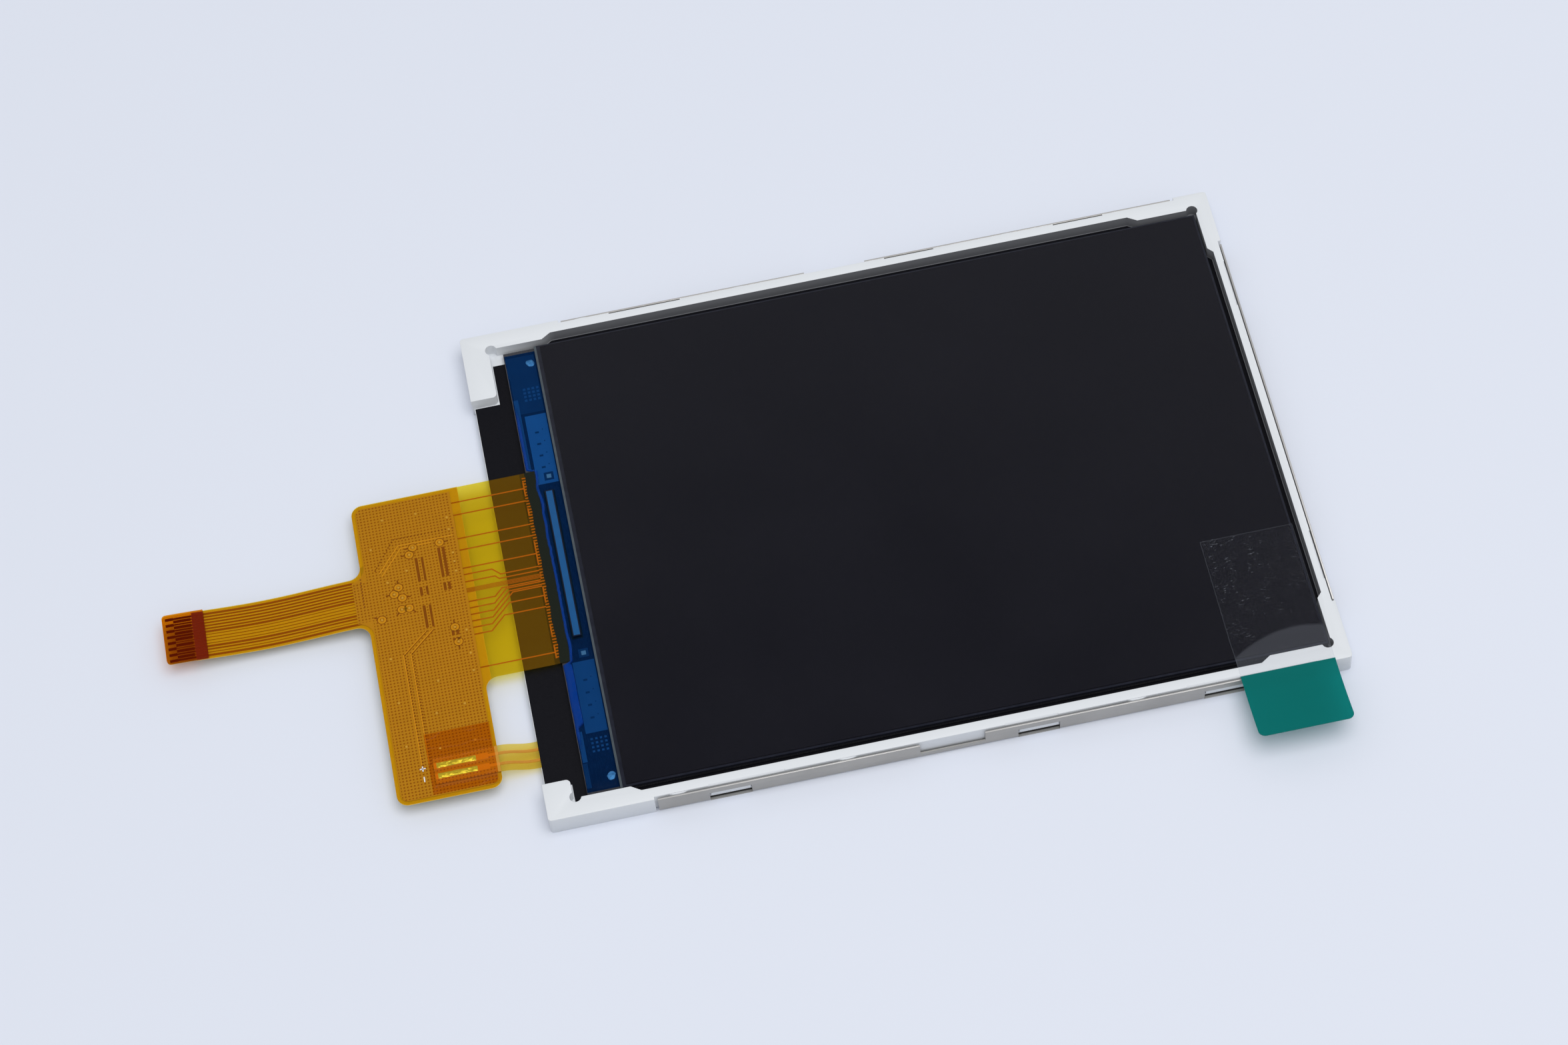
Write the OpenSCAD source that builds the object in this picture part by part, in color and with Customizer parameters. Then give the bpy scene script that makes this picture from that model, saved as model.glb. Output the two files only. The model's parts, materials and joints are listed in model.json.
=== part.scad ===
// 2.8 inch colour display module with a flat flex tail.
//
// X runs across the module and Y along it, from the flex tail (negative) to the
// pull tab end. Z points up out of the screen. The origin is the middle of the
// back shell's underside, on which the module lies.
//
// The pieces stack up in the order in which they are put together: the folded
// back shell, the moulded frame that snaps into it, the backlight inside the
// frame, the light-shield tape, the glass cell, the driver chip and the flex.

/* [Moulded frame] */
// Width of the module over its side walls
module_w = 50; // [48:0.5:60]
// Length of the frame from the flex end to the far end
module_l = 69.2; // [67:0.1:80]
// Height of the white rim above the screen
rim_over = 0.35; // [0.2:0.05:0.8]
// Width of each side rail
side_rail_w = 1.15; // [0.9:0.05:1.6]
// Width of the rail at the far end
end_rail_w = 0.95; // [0.8:0.05:1.4]
// How far the corner bosses stand in from the side rails
corner_boss = 0.55; // [0.3:0.05:0.8]
// How far the corner bosses stand in from the far rail
end_boss = 0.45; // [0.2:0.05:0.7]
// Length of the corner bosses at the flex end
flex_corner_l = 7.3; // [6:0.1:9]
// Length of the corner bosses at the far end
far_corner_l = 6.75; // [5:0.05:9]
// Width of the corner bosses along the far rail
far_corner_w = 6.2; // [4:0.1:9]
// Length of the slope from a boss to its rail
boss_slope = 0.85; // [0.5:0.05:1.5]
// Radius of the relief in each corner of the screen opening
relief_r = 0.5; // [0.3:0.05:0.7]
// Length of the two tabs beside the flex
tab_l = 2.4; // [1.8:0.1:3]
// Width of the tab on the backlight tail's side
near_tab_w = 3.55; // [2.5:0.05:4.5]
// Width of the tab on the other side
far_tab_w = 6.9; // [5:0.1:9]
// Radius of the frame's outer corners
frame_corner_r = 0.3; // [0.1:0.05:0.5]
// Width of the ledge that carries the tape, from the side walls inwards
ledge_w = 2.65; // [2.3:0.05:3.2]
// Width of the ledge at the far end
end_ledge_w = 2.3; // [2:0.05:3]

/* [Back shell] */
// Thickness of the shell's sheet steel
steel_t = 0.15; // [0.1:0.01:0.25]
// Inside radius of the folds
fold_r = 0.15; // [0.1:0.01:0.3]
// How far the walls' top edges lie below the rim
wall_drop = 0.2; // [0.1:0.05:0.5]
// Gap between the frame and the walls
wall_gap = 0.13; // [0.08:0.01:0.25]
// Length of the frame's posts at the flex end, which the walls leave free
flex_post_l = 9.3; // [8:0.1:12]
// Length of the frame's posts at the far end
far_post_l = 3.3; // [2:0.1:5]
// Width of the end wall
end_wall_w = 38.2; // [30:0.2:40]
// Length of a snap window in a side wall
window_l = 3.6; // [2.5:0.1:4.5]
// Length of a snap window in the end wall
end_window_l = 4.9; // [3:0.1:6]
// Distance of the end windows from the middle
end_window_x = 14.6; // [10:0.1:15]
// Height of a snap window above the underside
window_h = 1.3; // [1:0.05:1.5]
// Width of the notch in the middle of each side wall
notch_w = 5.6; // [3:0.1:8]
// Height of the wall that is left under the notch
notch_z = 0.7; // [0.5:0.05:1.2]
// Height of the face of a snap hook
hook_h = 0.4; // [0.2:0.05:0.5]
// Clearance between a hook and its window
hook_gap = 0.1; // [0.05:0.01:0.2]
// Distance from the flex end to the middle of the first side window
window_1 = 15.5; // [14:0.05:18]
// Distance from the flex end to the middle of the second side window
window_2 = 42.05; // [40:0.05:44]
// Distance from the flex end to the middle of the third side window
window_3 = 58.2; // [54:0.05:59]
// Distance from the flex end to the first crush rib
rib_1 = 11.15; // [10.6:0.05:12.4]
// Distance from the flex end to the second crush rib
rib_2 = 25.65; // [22:0.05:29]
// Distance from the flex end to the third crush rib
rib_3 = 50.6; // [47:0.05:53]
// Length of a crush rib
rib_len = 1.7; // [1:0.1:2.5]
// How far the rim's eased edge starts before the middle of the first window
ease_before_1 = 1.8; // [0.5:0.05:4]
// How far it runs past the middle of the first window
ease_past_1 = 4.75; // [1:0.05:6]
// How far the rim's eased edge starts before the middle of the second window
ease_before_2 = 2.85; // [0.5:0.05:4]
// How far it runs past the middle of the second window
ease_past_2 = 1.7; // [1:0.05:6]
// How far the rim's eased edge starts before the middle of the third window
ease_before_3 = 3.3; // [0.5:0.05:4]
// How far it runs past the middle of the third window
ease_past_3 = 1.3; // [1:0.05:6]

/* [Backlight] */
// Thickness of the reflector sheet
reflector_t = 0.08; // [0.05:0.01:0.15]
// Thickness of the light guide
guide_t = 0.55; // [0.4:0.05:0.8]
// Thickness of the diffuser sheet
diffuser_t = 0.06; // [0.04:0.01:0.1]
// Thickness of each prism sheet
prism_t = 0.06; // [0.04:0.01:0.1]
// Clearance round the light guide and the sheets
sheet_gap = 0.15; // [0.1:0.01:0.3]
// Width of a light-emitting diode
led_w = 3.8; // [3:0.1:4.5]
// Depth of a light-emitting diode
led_d = 1; // [0.8:0.05:1.4]
// Height of a light-emitting diode
led_h = 0.6; // [0.4:0.05:0.61]
// Distance from the light guide's side to the middle of the first diode
led_edge = 6.6; // [3:0.1:7.5]
// Distance from the frame's flex end to the light guide
guide_setback = 4.5; // [4.2:0.05:5.5]
// Thickness of the backlight's flex strip
strip_t = 0.1; // [0.06:0.01:0.14]
// Distance between the frame's cavity and the ends of the backlight's flex strip
strip_end_gap = 1.75; // [0.4:0.05:3.2]
// Width of the tail of the backlight's flex strip
strip_tail_w = 2.5; // [2:0.1:3.5]
// Distance from that tail's middle to the side edge of the main flex's body
strip_tail_inset = 2.6; // [1.5:0.05:4]

/* [Glass cell] */
// Thickness of the light-shield tape
tape_t = 0.05; // [0.03:0.01:0.1]
// Width of the tape's border over the ledge's inner edge
tape_lap = 0.45; // [0.2:0.05:0.8]
// Thickness of each sheet of glass
glass_t = 0.3; // [0.2:0.05:0.5]
// Thickness of each polarizer
polarizer_t = 0.12; // [0.08:0.01:0.2]
// Clearance between the glass and the side bosses
glass_side_gap = 0.3; // [0.1:0.05:0.5]
// Clearance between the glass and the far bosses
glass_end_gap = 0.15; // [0.05:0.05:0.4]
// Distance from the frame's flex end to the glass
glass_setback = 3.6; // [3.2:0.05:4]
// Depth of the contact ledge, where only the lower glass reaches
contact_ledge = 2.85; // [2.6:0.05:3.4]
// Inset of the polarizers from the edges of the glass
polarizer_inset = 0.2; // [0.1:0.05:0.5]
// Inset of the front polarizer at the contact ledge
polarizer_ledge_inset = 0.55; // [0.3:0.05:0.8]
// Thickness of the peel-off protective film
film_t = 0.05; // [0.03:0.01:0.08]

/* [Driver chip and resin] */
// Length of the driver chip
chip_w = 15.2; // [12:0.1:18]
// Width of the driver chip
chip_d = 0.75; // [0.6:0.05:1]
// Height of the driver chip
chip_h = 0.28; // [0.2:0.01:0.4]
// Distance from the glass edge to the chip
chip_setback = 1.35; // [1.2:0.05:1.5]
// Thickness of the conductive bonding film
bond_t = 0.02; // [0.01:0.01:0.04]
// Thickness of the sealing resin on the contact ledge
resin_t = 0.26; // [0.2:0.01:0.3]
// Radius of a silver paste dot
dot_r = 0.5; // [0.3:0.05:0.6]
// Distance of the silver dots from the ends of the glass edge
dot_inset = 1.5; // [1:0.1:3]

/* [Flex circuit] */
// Thickness of each polyimide cover film
cover_t = 0.025; // [0.02:0.005:0.04]
// Thickness of the polyimide base film
base_t = 0.03; // [0.02:0.005:0.05]
// Thickness of each copper layer
copper_t = 0.02; // [0.01:0.005:0.035]
// How far the flex laps onto the glass
bond_l = 0.8; // [0.5:0.05:1]
// Width of the neck that is bonded to the glass
neck_w = 19.8; // [18:0.1:24]
// Length of the neck between the glass and the body
neck_l = 6.75; // [6:0.05:9]
// Width of the body
body_w = 30.4; // [27.8:0.1:34]
// Length of the body along the module
body_l = 9.05; // [8:0.05:12]
// Radius of the body's corners
body_corner_r = 1; // [0.5:0.1:2]
// Radius at the roots of the neck and of the tail
root_r = 1.1; // [0.5:0.1:1.5]
// Distance of the flex's left edge from the middle
flex_left = 9.95; // [9:0.05:12]
// Width of the tail
tail_w = 4.9; // [4.7:0.1:6]
// Length of the tail
tail_l = 17.65; // [14:0.05:30]
// How far the tail dips in its middle
tail_dip = 0.42; // [0:0.02:0.6]
// How far the tail's tip rises
tail_lift = 0.18; // [0:0.02:1]
// Length of the stiffener at the tail's tip
stiffener_l = 3.6; // [3:0.1:5]
// Thickness of the stiffener
stiffener_t = 0.18; // [0.1:0.01:0.25]
// Pitch of the tail's conductors
contact_pitch = 0.3; // [0.28:0.01:0.31]
// Width of a conductor in the tail
conductor_w = 0.14; // [0.1:0.01:0.18]
// Width of a contact
contact_w = 0.27; // [0.2:0.01:0.28]
// Width of a trace in the neck
trace_w = 0.12; // [0.08:0.01:0.16]

/* [Solder joints and insulation] */
// Distance between the two solder joints
joint_pitch = 1.02; // [0.9:0.02:1.4]
// Width of a solder joint
joint_w = 0.52; // [0.3:0.02:0.7]
// Length of a solder joint
joint_l = 3.4; // [2:0.1:4]
// Height of a solder joint
joint_h = 0.12; // [0.06:0.01:0.2]
// Width of the insulation tape over the joints
patch_w = 5.9; // [5:0.1:8]
// Length of the insulation tape over the joints
patch_l = 5.7; // [5:0.1:6.5]
// Thickness of the insulation tape
patch_t = 0.05; // [0.03:0.01:0.1]

/* [Pull tab] */
// Width of the pull tab along the module
pull_w = 8.2; // [6:0.1:12]
// Length of the clear strip that is stuck to the screen
pull_stuck_l = 10.15; // [6:0.05:14]
// Length over which the strip rises from the screen to the rim
pull_rise_l = 2; // [1:0.1:2.3]
// Thickness of the clear strip
pull_t = 0.04; // [0.03:0.01:0.08]
// Thickness of the green handle
handle_t = 0.06; // [0.04:0.01:0.1]
// How far the green handle reaches beyond the frame
handle_l = 6.1; // [4:0.1:12]
// How far the handle's end curls up
handle_curl = 0.7; // [0:0.1:3]
// Radius of the handle's corners
handle_corner_r = 0.6; // [0.3:0.1:1.5]

/* [Hidden] */

$fn = 48;

// A cut runs this far past the face that it opens
past = 1;

// Heights of the stack, from the underside up
reflector_z = steel_t;
guide_z = reflector_z + reflector_t;
diffuser_z = guide_z + guide_t;
lower_prism_z = diffuser_z + diffuser_t;
upper_prism_z = lower_prism_z + prism_t;
ledge_z = upper_prism_z + prism_t;
strip_z = ledge_z - strip_t;
led_z = strip_z - led_h;
rear_polarizer_z = ledge_z + tape_t;
tft_z = rear_polarizer_z + polarizer_t;
contact_z = tft_z + glass_t;
front_polarizer_z = contact_z + glass_t;
screen_z = front_polarizer_z + polarizer_t;
rim_z = screen_z + rim_over;
film_z = screen_z + film_t;
wall_z = rim_z - wall_drop;

// Frame outline and screen opening
side_x = module_w / 2;
far_y = module_l / 2;
flex_y = -far_y;
rail_x = side_x - side_rail_w;
boss_x = rail_x - corner_boss;
rail_y = far_y - end_rail_w;
boss_y = rail_y - end_boss;
tab_y = flex_y + tab_l;
flex_boss_y = flex_y + flex_corner_l;
far_boss_y = far_y - far_corner_l;
far_boss_x = side_x - far_corner_w;
end_slope = 0.5;
tab_corner_r = 0.4;
// The reliefs stand this far inside the corners of the opening
relief_inset = 0.1;
tab_relief_inset = 0.2;
end_relief_inset = 0.3;

// The end bar between the tabs stands back from the tabs' ends
bar_setback = 0.2;
bar_y = flex_y + bar_setback;

// Frame cavity for the backlight
cavity_x = side_x - ledge_w;
cavity_y = far_y - end_ledge_w;
guide_y = flex_y + guide_setback;
guide_x = cavity_x - sheet_gap;
guide_far_y = cavity_y - sheet_gap;
led_count = 4;
led_gap = 0.1;
led_y = guide_y - led_gap - led_d;
led_pitch = 2 * (guide_x - led_edge) / (led_count - 1);
led_face_w = led_w * 0.75;
led_face_h = led_h * 0.6;
led_face_d = led_d * 0.3;
strip_w = 2 * (cavity_x - strip_end_gap);
strip_lap = 0.7;
strip_edge_y = guide_y + strip_lap;
strip_back_gap = 0.2;
strip_back_y = tab_y + strip_back_gap;
sheet_y = strip_edge_y + sheet_gap;

// Shell: the folds start at fold_x and fold_y, the frame's face lies behind the walls
fold_outer_r = fold_r + steel_t;
fold_x = side_x - fold_outer_r;
fold_y = far_y - fold_outer_r;
face_inset = steel_t + wall_gap;
floor_gap = 0.1;
post_w = 0.6;
wall_start_y = flex_y + flex_post_l;
wall_end_y = far_y - far_post_l;
wall_end_gap = 0.25;
window_cut = 0.35;
hook_proud = 0.05;
hook_ramp = 0.25;
// Middles of the snap windows
window_ys = [flex_y + window_1, flex_y + window_2, flex_y + window_3];
// Crush ribs that centre the frame between the walls
rib_ys = [flex_y + rib_1, flex_y + rib_2, flex_y + rib_3];
rib_gap = 0.01;
// Stretches where the rim's outer edge is eased, as [start, end]
eased_ys = [
    [window_ys[0] - ease_before_1, window_ys[0] + ease_past_1],
    [window_ys[1] - ease_before_2, window_ys[1] + ease_past_2],
    [window_ys[2] - ease_before_3, window_ys[2] + ease_past_3]
];
ease = 0.15;

// Glass cell
glass_x = boss_x - glass_side_gap;
glass_y0 = flex_y + glass_setback;
glass_y1 = boss_y - glass_end_gap;
filter_y0 = glass_y0 + contact_ledge;
tape_gap = 0.1;
tape_corner_cut = 1.1;
tape_window_inset = 1.2;

// Chip and resin
chip_z = contact_z + bond_t;
chip_y = glass_y0 + chip_setback;
chip_film_margin = 0.12;
resin_end = 0.3;
dot_x = glass_x - dot_inset;
dot_gap = 0.05;
dot_y = filter_y0 - dot_r - dot_gap;
dot_h = 0.24;

// Flex: heights of its layers above the run of its underside
copper_0 = cover_t;
base_0 = copper_0 + copper_t;
mesh_0 = base_0 + base_t;
front_0 = mesh_0 + copper_t;
flex_t = front_0 + cover_t;
flex_z = contact_z + bond_t;

bond_y = glass_y0 + bond_l;
back_cover_gap = 0.6;
back_cover_y = glass_y0 - back_cover_gap;
body_y1 = glass_y0 - neck_l;
body_y0 = body_y1 - body_l;
tail_y0 = body_y0 - tail_l;
neck_x0 = -flex_left;
neck_x1 = neck_x0 + neck_w;
body_x1 = neck_x0 + body_w;
tail_x = -0.1;
tail_tip_r = 0.35;
tail_tip_l = 2;
// The copper mesh stops short of the neck, where the front cover runs on a little, and
// reaches a little way into the tail
mesh_margin = 0.35;
mesh_setback = 0.2;
mesh_y1 = body_y1 - mesh_setback;
mesh_cover_lap = 0.75;
front_cover_y = mesh_y1 + mesh_cover_lap;
mesh_tail_l = 0.9;
mesh_tail_y = body_y0 - mesh_tail_l;
contact_count = 15;
contact_tip_gap = 0.25;
front_row_y = tail_y0 + contact_tip_gap;
front_contact_l = 0.7;
back_row_y = front_row_y + front_contact_l;
back_contact_l = 1.5;
contact_open_l = 2.55;
contact_cover_y = tail_y0 + contact_open_l;
conductor_run_in = 1.2;
conductor_end_y = body_y0 + conductor_run_in;
// Widths of the tail's lines from its left edge: power lines are broad, signals are fine
power_w = 0.2;
signal_w = 0.06;
line_widths = [
    power_w, conductor_w, conductor_w, conductor_w, conductor_w, conductor_w, power_w,
    signal_w, signal_w, signal_w, signal_w, power_w, conductor_w, signal_w, power_w
];

// Height of the backlight's lines above the body's tail edge, and the pads' clearances
lamp_line_y = 3.25;
pad_margin = 0.1;
pad_gap = 0.2;

// Neck traces as [place under the body, place at the glass, bend from the body], all
// across the neck from its left edge
trace_run_in = 0.6;
trace_start_y = body_y1 - trace_run_in;
neck_traces = [
    [1.55, 1.55, 0], [2.85, 2.85, 0], [5.32, 5.32, 0], [6.52, 6.52, 0], [8.42, 8.42, 0],
    [9.08, 9.75, 2.3], [9.83, 10.17, 2.45],
    [11.87, 11.15, 2.15], [12.53, 11.32, 2], [13.2, 11.62, 1.85], [13.87, 11.8, 1.65],
    [14.53, 12.78, 1.5], [15.23, 13.92, 1.35], [neck_w - 1.2, neck_w - 1.2, 0]
];
fine_x = 10.52;
fine_pitch = 0.08;
fine_w = 0.04;
fine_count = 6;
// Fingers on the glass, and the bars that gather some of them, as [from, to]
finger_root = 0.45;
finger_y = glass_y0 - finger_root;
finger_pitch = 0.3;
finger_inset = 0.5;
finger_x0 = neck_x0 + finger_inset;
finger_count = floor((neck_w - 2 * finger_inset) / finger_pitch) + 1;
finger_end = 0.05;
finger_bars = [
    [0.92, 2.4], [3.65, 4.45], [7.2, 9.62], [11.98, 13.53], [15.85, 16.95],
    [neck_w - 1.95, neck_w - 0.6]
];

// The height of the flex's underside along Y: level in the neck and the body, then
// a shallow dip and a lifted tip in the tail
tail_steps = 28;
function rise(s) = (1 - cos(180 * s)) / 2;
function tail_rise(s) = tail_lift * s * s - tail_dip * rise(2 * s);
flex_run = concat(
    [[bond_y + past, 0]],
    [for (i = [0 : tail_steps]) [body_y0 - tail_l * i / tail_steps, tail_rise(i / tail_steps)]],
    [[tail_y0 - past, tail_rise(1)]]
);

// The backlight's tail leaves the frame under the tape and climbs onto the flex
climb_gap = 0.2;
climb_y0 = flex_y - climb_gap;
climb_y1 = body_y1 + climb_gap;
climb_h = flex_z + flex_t - strip_z;
climb_steps = 12;
strip_run = concat(
    [[strip_edge_y + past, 0]],
    [for (i = [0 : climb_steps])
        [climb_y0 + (climb_y1 - climb_y0) * i / climb_steps, climb_h * rise(i / climb_steps)]],
    [[body_y0 - past, climb_h]]
);
strip_tail_x = body_x1 - strip_tail_inset;
joint_setback = 1.9;
joint_end_gap = 0.25;
joint_y = body_y1 - joint_setback - joint_l / 2;
joint_corner_r = joint_w * 0.4;
strip_tail_y = joint_y - joint_l / 2 - joint_end_gap;
joint_z = flex_z + flex_t + strip_t;
patch_offset = 0.8;
patch_x = strip_tail_x - patch_offset;
patch_gap = 0.25;
patch_y1 = body_y1 - patch_gap;

// The pull tab runs along X: stuck to the screen, up to the rim, then out past it
pull_end_gap = 0.1;
pull_y1 = boss_y - pull_end_gap;
pull_y0 = pull_y1 - pull_w;
pull_rim_gap = 0.2;
pull_rise_x1 = boss_x - pull_rim_gap;
pull_rise_x0 = pull_rise_x1 - pull_rise_l;
pull_x0 = pull_rise_x0 - pull_stuck_l;
handle_lap = 0.2;
handle_x0 = side_x - handle_lap;
pull_x1 = side_x + handle_l;
pull_steps = 10;
pull_run = concat(
    [[pull_x0 - past, film_z]],
    [for (i = [0 : pull_steps])
        [pull_rise_x0 + pull_rise_l * i / pull_steps, film_z + (rim_z - film_z) * rise(i / pull_steps)]],
    [for (i = [0 : pull_steps])
        [side_x + handle_l * i / pull_steps, rim_z + handle_curl * pow(i / pull_steps, 2)]],
    [[pull_x1 + past, rim_z + handle_curl]]
);

// ---------------------------------------------------------------- helpers

// A block between two corners
module block(low, high) {
    translate(low) cube(high - low);
}

// A rectangle between two corners
module rect(low, high) {
    translate(low) square(high - low);
}

// A rectangle between two corners, with round corners
module round_rect(low, high, r) {
    rect([low.x + r, low.y], [high.x - r, high.y]);
    rect([low.x, low.y + r], [high.x, high.y - r]);
    for (x = [low.x + r, high.x - r], y = [low.y + r, high.y - r]) translate([x, y]) circle(r);
}

// What a round corner leaves of its square, for a corner at `at` that opens towards `dir`
module corner_fill(at, dir, r) {
    translate(at) difference() {
        rect([min(0, dir.x) * r, min(0, dir.y) * r], [max(0, dir.x) * r, max(0, dir.y) * r]);
        translate(dir * r) circle(r);
    }
}

// Both sides of the module
module both_sides() {
    children();
    mirror([1, 0, 0]) children();
}

// A profile in X and Z, drawn along Y
module along_y(y0, y1) {
    translate([0, y1, 0]) rotate([90, 0, 0]) linear_extrude(y1 - y0) children();
}

// A profile in Y and Z, drawn along X
module along_x(x0, x1) {
    translate([x0, 0, 0]) rotate([90, 0, 90]) linear_extrude(x1 - x0) children();
}

// The band between two heights over a run of [place, height] points
module band(run, low, high) {
    count = len(run);
    polygon(concat(
        [for (p = run) [p.x, p.y + low]],
        [for (i = [1 : count]) [run[count - i].x, run[count - i].y + high]]
    ));
}

// One layer of the flex: a plan outline, between two heights above its underside
module flex_layer(low, high) {
    intersection() {
        translate([0, 0, -past]) linear_extrude(rim_z + 2 * past) children();
        translate([0, 0, flex_z]) along_x(-module_w, module_w) band(flex_run, low, high);
    }
}

// ---------------------------------------------------------------- back shell

// Outline of the shell's floor, grown by a clearance
module floor_outline(gap = 0) {
    inner_x = side_x - post_w - floor_gap + gap;
    rect([-inner_x, bar_y + floor_gap - gap], [inner_x, far_y - post_w - floor_gap + gap]);
    rect([-fold_x, wall_start_y - gap], [fold_x, wall_end_y + gap]);
    rect([-end_wall_w / 2 - gap, 0], [end_wall_w / 2 + gap, fold_y]);
}

// Section of a folded wall, with the outside face at the given distance
module wall_section(face) {
    fold = face - fold_outer_r;
    rect([face - steel_t, fold_outer_r], [face, wall_z]);
    intersection() {
        rect([fold, 0], [face, fold_outer_r]);
        translate([fold, fold_outer_r]) difference() {
            circle(fold_outer_r);
            circle(fold_r);
        }
    }
}

// Cuts in the side wall: snap windows through the fold, and the notch in its top edge
module side_wall_cuts() {
    for (y = window_ys)
        block([fold_x - window_cut, y - window_l / 2, -past], [side_x + past, y + window_l / 2, window_h]);
    block([fold_x, -notch_w / 2, notch_z], [side_x + past, notch_w / 2, rim_z]);
}

module back_shell() {
    color("silver") difference() {
        union() {
            linear_extrude(steel_t) floor_outline();
            both_sides() along_y(wall_start_y, wall_end_y) wall_section(side_x);
            along_x(-end_wall_w / 2, end_wall_w / 2) wall_section(far_y);
        }
        both_sides() side_wall_cuts();
        both_sides() block(
            [end_window_x - end_window_l / 2, fold_y - window_cut, -past],
            [end_window_x + end_window_l / 2, far_y + past, window_h]
        );
    }
}

// ---------------------------------------------------------------- moulded frame

// Half of the screen opening, from the flex end to the far end, shrunk by a gap
function opening_side(gap) = [
    [boss_x - gap, tab_y + gap],
    [boss_x - gap, flex_boss_y],
    [rail_x - gap, flex_boss_y + boss_slope],
    [rail_x - gap, far_boss_y - boss_slope],
    [boss_x - gap, far_boss_y],
    [boss_x - gap, boss_y - gap],
    [far_boss_x, boss_y - gap],
    [far_boss_x - end_slope, rail_y - gap]
];

// Outline of the space inside the rails, as far as the tabs
module opening_outline(gap = 0) {
    side = opening_side(gap);
    polygon(concat(side, [for (i = [len(side) - 1 : -1 : 0]) [-side[i].x, side[i].y]]));
}

// Space between the tabs, where the flex comes out
module mouth_outline(y0, gap = 0) {
    rect([far_tab_w - side_x + gap, y0], [side_x - near_tab_w - gap, tab_y + 2 * gap]);
}

// The screen opening, with relieved corners and rounded tabs
module screen_opening() {
    opening_outline();
    mouth_outline(flex_y - past);
    for (x = [-1, 1]) {
        translate([x * (boss_x - relief_inset), tab_y + tab_relief_inset]) circle(relief_r);
        translate([x * (boss_x - relief_inset), boss_y - end_relief_inset]) circle(relief_r);
    }
    corner_fill([side_x - near_tab_w, tab_y], [1, -1], tab_corner_r);
    corner_fill([far_tab_w - side_x, tab_y], [-1, -1], tab_corner_r);
}

// Room behind a wall: the frame's face, with its lower edge cut back at the fold
module wall_room(face) {
    inner = face - face_inset;
    polygon([
        [inner, steel_t + fold_r], [inner, rim_z + past], [face + past, rim_z + past],
        [face + past, -past], [inner - fold_r, -past], [inner - fold_r, steel_t]
    ]);
}

// Slope along the rim's outer edge
module rim_ease(face) {
    inner = face - face_inset;
    polygon([
        [inner - ease, rim_z + past], [inner - ease, rim_z], [inner, rim_z - ease],
        [inner + past, rim_z - ease], [inner + past, rim_z + past]
    ]);
}

// Section of a snap hook: a flat catch on top and a slope below
module hook_section(face) {
    inner = face - face_inset;
    top = window_h - hook_gap;
    low = top - hook_h;
    polygon([
        [inner - wall_gap, top], [face - hook_proud, top], [face - hook_proud, low],
        [inner, low - hook_ramp], [inner - wall_gap, low - hook_ramp]
    ]);
}

// A crush rib: a shallow arc that bridges the gap to the wall
module crush_rib(y) {
    reach = wall_gap - rib_gap;
    arc_r = (rib_len * rib_len / 4 + reach * reach) / (2 * reach);
    face = side_x - steel_t - rib_gap;
    translate([0, y, 0]) intersection() {
        block([face - 2 * reach, -rib_len, window_h], [face + past, rib_len, rim_z - ease / 2]);
        translate([face - arc_r, 0, 0]) cylinder(h = rim_z + past, r = arc_r, $fn = 96);
    }
}

// Place of a diode across the module
function led_x(i) = (i - (led_count + 1) / 2) * led_pitch;

// Pockets in the end bar for the diodes and the backlight's flex strip
module backlight_pockets() {
    block([-cavity_x, guide_y - led_gap, steel_t - past], [cavity_x, cavity_y, ledge_z + past]);
    for (i = [1 : led_count])
        block([led_x(i) - led_w / 2 - led_gap, led_y - led_gap, steel_t - past],
            [led_x(i) + led_w / 2 + led_gap, guide_y, strip_z + past]);
    block([-strip_w / 2 - led_gap, strip_back_y - led_gap, strip_z],
        [strip_w / 2 + led_gap, guide_y, ledge_z + past]);
    block([strip_tail_x - strip_tail_w / 2 - led_gap, flex_y - past, strip_z],
        [strip_tail_x + strip_tail_w / 2 + led_gap, strip_back_y, ledge_z + past]);
}

module moulded_frame() {
    color("white") {
        difference() {
            linear_extrude(rim_z) round_rect([-side_x, flex_y], [side_x, far_y], frame_corner_r);
            translate([0, 0, steel_t - past]) linear_extrude(past) floor_outline(floor_gap);
            translate([0, 0, ledge_z]) linear_extrude(rim_z) screen_opening();
            backlight_pockets();
            both_sides() along_y(wall_start_y - wall_end_gap, wall_end_y + wall_end_gap) wall_room(side_x);
            along_x(-end_wall_w / 2 - wall_end_gap, end_wall_w / 2 + wall_end_gap) wall_room(far_y);
            both_sides() for (e = eased_ys) along_y(e[0], e[1]) rim_ease(side_x);
            both_sides() along_x(end_window_x - end_window_l / 2, end_window_x + end_window_l / 2)
                rim_ease(far_y);
            block([far_tab_w - side_x, flex_y - past, -past], [side_x - near_tab_w, bar_y, rim_z + past]);
        }
        both_sides() {
            for (y = window_ys)
                along_y(y - window_l / 2 + hook_gap, y + window_l / 2 - hook_gap) hook_section(side_x);
            for (y = rib_ys) crush_rib(y);
            along_x(end_window_x - end_window_l / 2 + hook_gap, end_window_x + end_window_l / 2 - hook_gap)
                hook_section(far_y);
        }
    }
}

// ---------------------------------------------------------------- backlight

// A sheet that fills the cavity, less its clearance, from y0 to the far end
module cavity_sheet(y0, z, t) {
    block([-guide_x, y0, z], [guide_x, guide_far_y, z + t]);
}

module reflector_sheet() {
    color("white") cavity_sheet(guide_y, reflector_z, reflector_t);
}

module light_guide() {
    color("lightcyan") cavity_sheet(guide_y, guide_z, guide_t);
}

module diffuser_sheet() {
    color("whitesmoke") cavity_sheet(sheet_y, diffuser_z, diffuser_t);
}

module lower_prism_sheet() {
    color("gainsboro") cavity_sheet(sheet_y, lower_prism_z, prism_t);
}

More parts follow.
